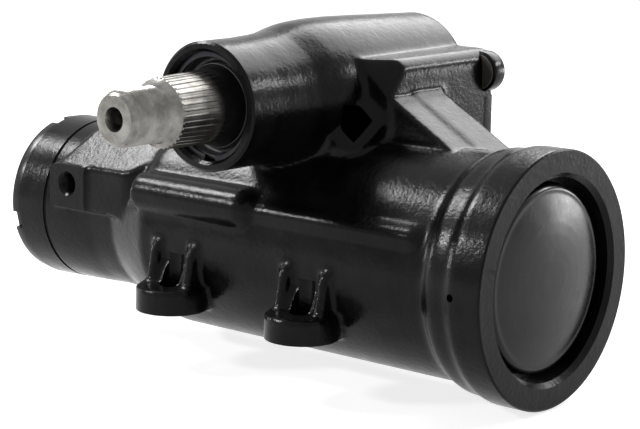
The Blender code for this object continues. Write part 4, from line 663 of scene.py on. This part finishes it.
def port_cuts():
    """The cutters for the ports, the square boss and the small hole in the flange."""
    above = [(-112, -60), (-60, -60), (-60, 60), (-112, 60)]
    cuts = [plate("port_face", "XY", above, PORT_TOP_Z, PORT_TOP_Z + 20)]
    for x, radius in zip(PORT_XS, PORT_HOLE_RS):
        mouth = radius + 1.2
        port = [(PORT_TOP_Z + 10, 0), (PORT_TOP_Z + 10, mouth), (PORT_TOP_Z, mouth)]
        port += thread(PORT_TOP_Z - 1.2, PORT_TOP_Z - 8, radius, 0.5, 1.5)
        port += [(PORT_TOP_Z - 8, 4), (23, 4), (23, 0)]
        cuts.append(turned("port_hole", "Z", port, at=(x, 0, 0), steps=64))
    beside = [(-136, 0), (-107.6, 0), (-107.6, 26), (-136, 26)]
    cuts.append(plate("port_side", "XZ", beside, PORT_FACE_Y - 20, PORT_FACE_Y))
    middle = (sum(SQUARE_X) / 2, 0, sum(SQUARE_Z) / 2 + 1.5)
    well = [(PORT_FACE_Y - 10, 0), (PORT_FACE_Y - 10, 6), (PORT_FACE_Y, 6)]
    well += thread(PORT_FACE_Y + 0.8, PORT_FACE_Y + 10, 5.2, 0.45, 1.25)
    well += [(PORT_FACE_Y + 12, 2), (PORT_FACE_Y + 12, 0)]
    cuts.append(turned("square_hole", "Y", well, at=middle, steps=64))
    cuts.append(bar("release_hole", "Y", -70, -43, 1.7, at=(116.5, 0, 0), steps=24))
    return cuts


def housing():
    """The casting: its forms are fused and softened, then machined."""
    forms = [barrel(), tower(), *chamber(), *oil_passage(), *gusset(), *port_block()]
    for x in EAR_XS:
        for side in (-1, 1):
            forms += ear(x, side)
    cast = joined("housing_casting", forms)
    fuse = cast.modifiers.new("fuse", "REMESH")
    fuse.mode = "VOXEL"
    fuse.voxel_size = CAST_VOXEL * MM
    calm = cast.modifiers.new("calm", "SMOOTH")
    calm.factor = 0.5
    calm.iterations = CAST_SMOOTHING
    applied(cast)
    carve(cast, barrel_cuts() + tower_cuts() + ear_cuts() + port_cuts())
    dress(cast, CAST_PAINT, "housing", "gear_housing", 28)


# The pieces on and in the housing


def end_plug():
    """The domed plug in the flanged end and the ring that holds it."""
    face_x, crown_x, crown_r, crown_rise = 125.4, 126.6, 37, 3.8
    outside = [(109.3, 37), (109.3, 43.7), (114.7, 43.7), (114.7, 41.3), (face_x - 3.2, 41.3),
               (face_x, 40.6), (crown_x, 38.8)]
    for radius in (37, 34, 30, 25, 20, 14, 8, 0):
        outside.append((crown_x + crown_rise * (1 - (radius / crown_r) ** 2), radius))
    inside = [(126.4, 0), (121.4, 34.9), (117.3, 34.9)]
    plug = turned("domed_end_plug", "X", round_corners(outside, 0.8) + inside, closed=True)
    dress(plug, SMOOTH_PAINT, "housing", "end_plug")
    band = ring("end_retaining_ring", "X", 115.05, 118, 41.65, 45.45, 0.4)
    dress(band, SMOOTH_PAINT, "housing", "end_plug_retaining_ring")


def pitman_shaft():
    """The pitman shaft: journal, gear, tapered spline, threaded end, and holes in both ends."""
    at = (0, 0, SECTOR_Z)
    tip = span("sector_shaft", 1)[0]
    profile = [(57, 0), (57, 14), (56, 15), (19.5, 15), (19.5, 17.3), (-70.6, 17.3), (-74, 16.3),
               (-78, 15.6), (-104, 14.6), (-106.4, 12.7), (-108.2, 12.1), (-109, 11.3)]
    profile += thread(-109.6, tip + 3.4, 11.95, 0.85, 1.8)
    profile += [(tip + 3, 11.4), (tip + 1, 10.9), (tip, 9.9), (tip, 5.2), (tip + 3, 3.9),
                (tip + 9, 3.9), (tip + 11, 0)]
    shaft = turned("pitman_shaft", "Y", profile, at=at)
    spline = spline_teeth("spline", -106, -72.3, 16.05, 1.25, 36, 1.1, at)
    carve(shaft, [spline, sector_gear()], "UNION")
    carve(shaft, [bar("pocket", "Y", 51.8, 62, 9.6, at=at, steps=48)])
    dress(shaft, SHAFT_STEEL, "sector", "sector_shaft", 25)


def spline_teeth(name, low, high, tip, depth, teeth, taper, at):
    """Straight teeth all round a bar; the low end is narrower by the taper."""
    form = bmesh.new()
    shares = ((-0.36, depth), (-0.2, 0.12), (-0.1, 0), (0.1, 0), (0.2, 0.12), (0.36, depth))
    run_out = 2.6
    sections = ((low, tip - taper, run_out), (low + run_out, tip - taper * 0.93, 0), (high, tip, 0))
    rings = []
    for height, scale, cut in sections:
        points = []
        for i in range(teeth):
            for share, sink in shares:
                angle = TURN * (i + share) / teeth
                radius = scale - max(sink, cut)
                spot = Vector((radius * math.sin(angle), height, radius * math.cos(angle)))
                points.append(form.verts.new(spot + Vector(at)))
        rings.append(points)
    for a, b in zip(rings, rings[1:]):
        for i in range(len(a)):
            j = (i + 1) % len(a)
            form.faces.new((a[i], a[j], b[j], b[i]))
    form.faces.new(rings[0][::-1])
    form.faces.new(rings[-1])
    return mesh_object(name, form)


def sector_gear():
    """The three rack teeth of the sector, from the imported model's own pitch."""
    root_r, pitch_r, tip_r, pitch, angle = 30.7, 36, 40.8, 20, math.radians(25)
    base_r = pitch_r * math.cos(angle)
    step = pitch / pitch_r
    half = (pitch / 2 - 0.35) / 2 / pitch_r + math.tan(angle) - angle
    flank = [(root_r, half)]
    for i in range(10):
        radius = base_r + (tip_r - base_r) * i / 9
        roll = math.acos(base_r / radius)
        flank.append((radius, half - (math.tan(roll) - roll)))
    points = [polar(root_r, -math.pi / 2 - 1.4 * step)]
    for k in (-1, 0, 1):
        middle = -math.pi / 2 + k * step
        points += [polar(radius, middle - a) for radius, a in flank]
        points += [polar(radius, middle + a) for radius, a in reversed(flank)]
    points.append(polar(root_r, -math.pi / 2 + 1.4 * step))
    points += arc((0, SECTOR_Z), 20, -25, 205, 36)
    return plate("gear", "XZ", points, -20, 20)


def polar(radius, angle):
    """A point round the sector shaft's axis, in X and Z."""
    return radius * math.cos(angle), SECTOR_Z + radius * math.sin(angle)


def nose_seals():
    """The dust seal in the nose and the open snap ring in front of it."""
    at = (0, 0, SECTOR_Z)
    lip = [(-58.3, 17.65), (-58.3, 23.25), (-70, 23.25), (-70, 21.6), (-66.6, 20.6),
           (-66.2, 19.2), (-69.4, 18.2), (-69.4, 17.65)]
    seal = turned("sector_dust_seal", "Y", round_corners(lip, 0.4, closed=True), at=at, closed=True)
    dress(seal, RUBBER, "housing", "sector_outer_seal")
    snap = ring("nose_snap_ring", "Y", -72.5, -71.1, 21.2, 24.8, 0.25, at=at)
    gap = plate("gap", "XZ", [(0, SECTOR_Z), (-4, SECTOR_Z - 30), (4, SECTOR_Z - 30)], -80, -60)
    carve(snap, [gap])
    dress(snap, BLACK_STEEL, "housing", "sector_snap_ring")


def lock_nut():
    """The ring nut on the valve end, with slots for a spanner."""
    low, high = span("adjuster_lock_nut", 0)
    count, offset = 4, 0.14
    size, reach = Vector((20, 10, 8.5)), 42.1
    nut = ring("slotted_lock_nut", "X", low, high, 33, 39.7, 0.7)
    slots = []
    for i in range(count):
        turn = Matrix.Rotation(TURN * (i + offset) / count, 3, "X")
        slot = bmesh.new()
        bmesh.ops.create_cube(slot, size=1)
        for vert in slot.verts:
            vert.co = turn @ (Vector(((low + high) / 2, reach, 0)) + vert.co * size)
        slots.append(mesh_object("slot", slot))
    carve(nut, slots)
    dress(nut, SMOOTH_PAINT, "housing", "adjuster_lock_nut")


def raised(name, radius, height, chamfer, at, steps=STEPS):
    """A low round pad on the side cover's face."""
    profile = [(COVER_BACK_Y + 2, 0), (COVER_BACK_Y + 2, radius), (COVER_FACE_Y + 0.2, radius),
               (COVER_FACE_Y + height, radius - chamfer), (COVER_FACE_Y + height, 0)]
    return turned(name, "Y", profile, at=at, steps=steps)


def side_cover():
    """The cast cover behind the tower, and its gasket."""
    at = (0, 0, SECTOR_Z)
    cover = soften(plate("cover_plate", "XZ", cover_outline(), COVER_BACK_Y, COVER_FACE_Y), 1.0)
    adds = [bar("boss", "Y", 24, COVER_BACK_Y + 2, 23.6, at=at), raised("pad", 15.5, 2.5, 1.5, at)]
    adds += [raised("bolt_pad", 8.4, 1, 0.7, (x, 0, z), 48) for x, z in BOLTS]
    carve(cover, adds, "UNION")
    holes = bolt_cuts(50, 90)
    holes.append(bar("bush", "Y", 10, 58, 18.6, at=at, steps=96))
    holes.append(bar("screw", "Y", 40, 90, ADJUSTER_HOLE_R, at=at, steps=48))
    carve(cover, holes)
    dress(cover, CAST_PAINT, "housing", "side_cover")
    gasket = plate("cover_gasket", "XZ", cover_outline(-1.3), 61.8, 62.6)
    carve(gasket, bolt_cuts(50, 90) + [bar("middle", "Y", 50, 90, 28, at=at)])
    dress(gasket, FIBRE, "housing", "side_cover_gasket")


def bolts():
    """The side cover's four bolts, each with a collar under its hexagon head."""
    end, shank_r, seat = 44.5, 4.5, 72.3
    shank = [(end, 0), (end, shank_r - 0.8), (end + 0.8, shank_r), (seat + 0.5, shank_r),
             (seat + 0.5, 0)]
    flange = [(seat, 0), (seat, 7.5), (seat + 0.8, 7.5), (seat + 1.8, 6.8), (seat + 1.8, 0)]
    for number, (x, z) in enumerate(BOLTS, 1):
        bolt = turned("cover_bolt", "Y", shank, at=(x, 0, z), steps=48)
        collar = turned("collar", "Y", flange, at=(x, 0, z), steps=64)
        head = hexagon(6.7, seat + 1, seat + 6, x, z)
        carve(bolt, [collar, head], "UNION")
        bolt.name = f"cover_bolt_{number}"
        dress(bolt, PLAIN_STEEL, "housing", f"side_cover_bolt_{number}")


def hexagon(radius, low, high, x, z):
    """A hexagon head with its corners turned off."""
    head = plate("hexagon", "XZ", hexagon_outline(radius, x, z), low, high)
    profile = [(high + 1, 0), (high + 1, radius - 1), (high - 2.2, radius + 4.5),
               (low - 1, radius + 4.5), (low - 1, 0)]
    crown = turned("crown", "Y", profile, at=(x, 0, z), steps=64)
    return carve(head, [crown], "INTERSECT")


def lash_adjuster():
    """The lash adjuster's screw and its lock nut, in the middle of the side cover."""
    at = (0, 0, SECTOR_Z)
    low, high = span("lash_adjuster_lock_nut", 1)
    nut = hexagon(8.5, low, high, 0, SECTOR_Z)
    carve(nut, [bar("hole", "Y", low - 5, high + 5, ADJUSTER_HOLE_R, at=at, steps=48)])
    nut.name = "adjuster_nut"
    dress(nut, RING_STEEL, "housing", "lash_adjuster_lock_nut")
    top = span("lash_adjuster_screw", 1)[1]
    profile = [(52.4, 0), (52.4, 9), (56.4, 9), (56.4, 5)] + thread(60, top - 1, 5, 0.4, 1.25)
    screw = turned("adjuster_screw", "Y", profile + [(top, 4.2), (top, 0)], at=at, steps=64)
    socket = hexagon_outline(2.5, 0, SECTOR_Z)
    carve(screw, [plate("socket", "XZ", socket, top - 5, top + 5)])
    dress(screw, RING_STEEL, "adjuster", "lash_adjuster_screw")


# The stage


def camera():
    data = bpy.data.cameras.new("camera")
    data.lens = CAMERA_LENS
    data.sensor_width = SENSOR_WIDTH
    data.sensor_fit = "HORIZONTAL"
    data.clip_start = 0.01
    data.clip_end = 20
    thing = new_object("camera", data)
    turn = Matrix((CAMERA_RIGHT, CAMERA_UP, CAMERA_BACK)).transposed()
    thing.matrix_world = Matrix.Translation(place(CAMERA_AT)) @ turn.to_4x4()
    bpy.context.scene.camera = thing


def lamp(name, at, look, size, power):
    """A rectangular lamp at a point, turned towards another; both are in metres."""
    data = bpy.data.lights.new(name, "AREA")
    data.shape = "RECTANGLE"
    data.size, data.size_y = size
    data.energy = power
    thing = new_object(name, data)
    thing.location = at
    thing.rotation_euler = (Vector(look) - Vector(at)).to_track_quat("-Z", "Y").to_euler()


def seen(tree):
    """1 for rays that come from the camera or from a mirror or glass, and 0 for the rest."""
    path = tree.nodes.new("ShaderNodeLightPath")
    total = path.outputs["Is Camera Ray"]
    for name in ("Is Glossy Ray", "Is Transmission Ray"):
        either = tree.nodes.new("ShaderNodeMath")
        either.operation = "MAXIMUM"
        tree.links.new(total, either.inputs[0])
        tree.links.new(path.outputs[name], either.inputs[1])
        total = either.outputs["Value"]
    return total


def strength(tree, low, high):
    """A value that is high for the rays of seen() and low for the rest."""
    node = tree.nodes.new("ShaderNodeMapRange")
    node.inputs["To Min"].default_value = low
    node.inputs["To Max"].default_value = high
    tree.links.new(seen(tree), node.inputs["Value"])
    return node.outputs["Result"]


def floor():
    """A pale floor that glows towards its rim for the camera and for mirrors."""
    bpy.ops.mesh.primitive_plane_add(size=8, location=(0, 0, -0.0005))
    sheet = bpy.context.object
    sheet.name = "floor"
    finish = Finish("pale_floor", (0.5, 0.5, 0.5), 0.9)
    finish.shader.inputs["Specular IOR Level"].default_value = 0
    finish.shader.inputs["Emission Color"].default_value = (1, 1, 1, 1)
    far = finish.tree.nodes.new("ShaderNodeVectorMath")
    far.operation = "LENGTH"
    finish.link(finish.coords, far.inputs[0])
    fade = finish.tree.nodes.new("ShaderNodeMapRange")
    reach = (("From Min", 0.3), ("From Max", 1.2), ("To Min", 0.8), ("To Max", 0.97))
    for socket, value in reach:
        fade.inputs[socket].default_value = value
    finish.link(far.outputs["Value"], fade.inputs["Value"])
    glow = finish.tree.nodes.new("ShaderNodeMath")
    glow.operation = "MULTIPLY"
    finish.link(fade.outputs["Result"], glow.inputs[0])
    finish.link(seen(finish.tree), glow.inputs[1])
    finish.link(glow.outputs["Value"], finish.shader.inputs["Emission Strength"])
    sheet.data.materials.append(finish.material)


def light():
    """A white backdrop that lights little, and six lamps."""
    world = bpy.data.worlds.new("studio")
    bpy.context.scene.world = world
    world.use_nodes = True
    backdrop = world.node_tree.nodes["Background"]
    backdrop.inputs["Color"].default_value = (1, 1, 1, 1)
    shown = strength(world.node_tree, 0.12, 1)
    world.node_tree.links.new(shown, backdrop.inputs["Strength"])
    middle = (0, 0, 0.08)
    lamp("left_light", (-0.82, -0.24, 1.0), middle, (0.34, 0.3), 14)
    lamp("soft_light", (-0.05, 1.0, 1.0), middle, (1.2, 0.8), 22)
    lamp("strip_light", (0.66, 1.0, 0.62), middle, (0.4, 0.12), 5)
    lamp("low_back_light", (0.6, 1.14, 0.13), (0.13, 0, 0.07), (0.5, 0.22), 5)
    lamp("side_light", (-1.15, -0.35, 0.22), middle, (0.12, 0.16), 1.5)
    lamp("glint_light", (-0.78, -0.86, 0.66), middle, (0.2, 0.12), 9)
    bpy.context.scene.view_settings.view_transform = "Standard"


dress_cad_nodes()
housing()
end_plug()
pitman_shaft()
nose_seals()
lock_nut()
side_cover()
bolts()
lash_adjuster()
camera()
floor()
light()
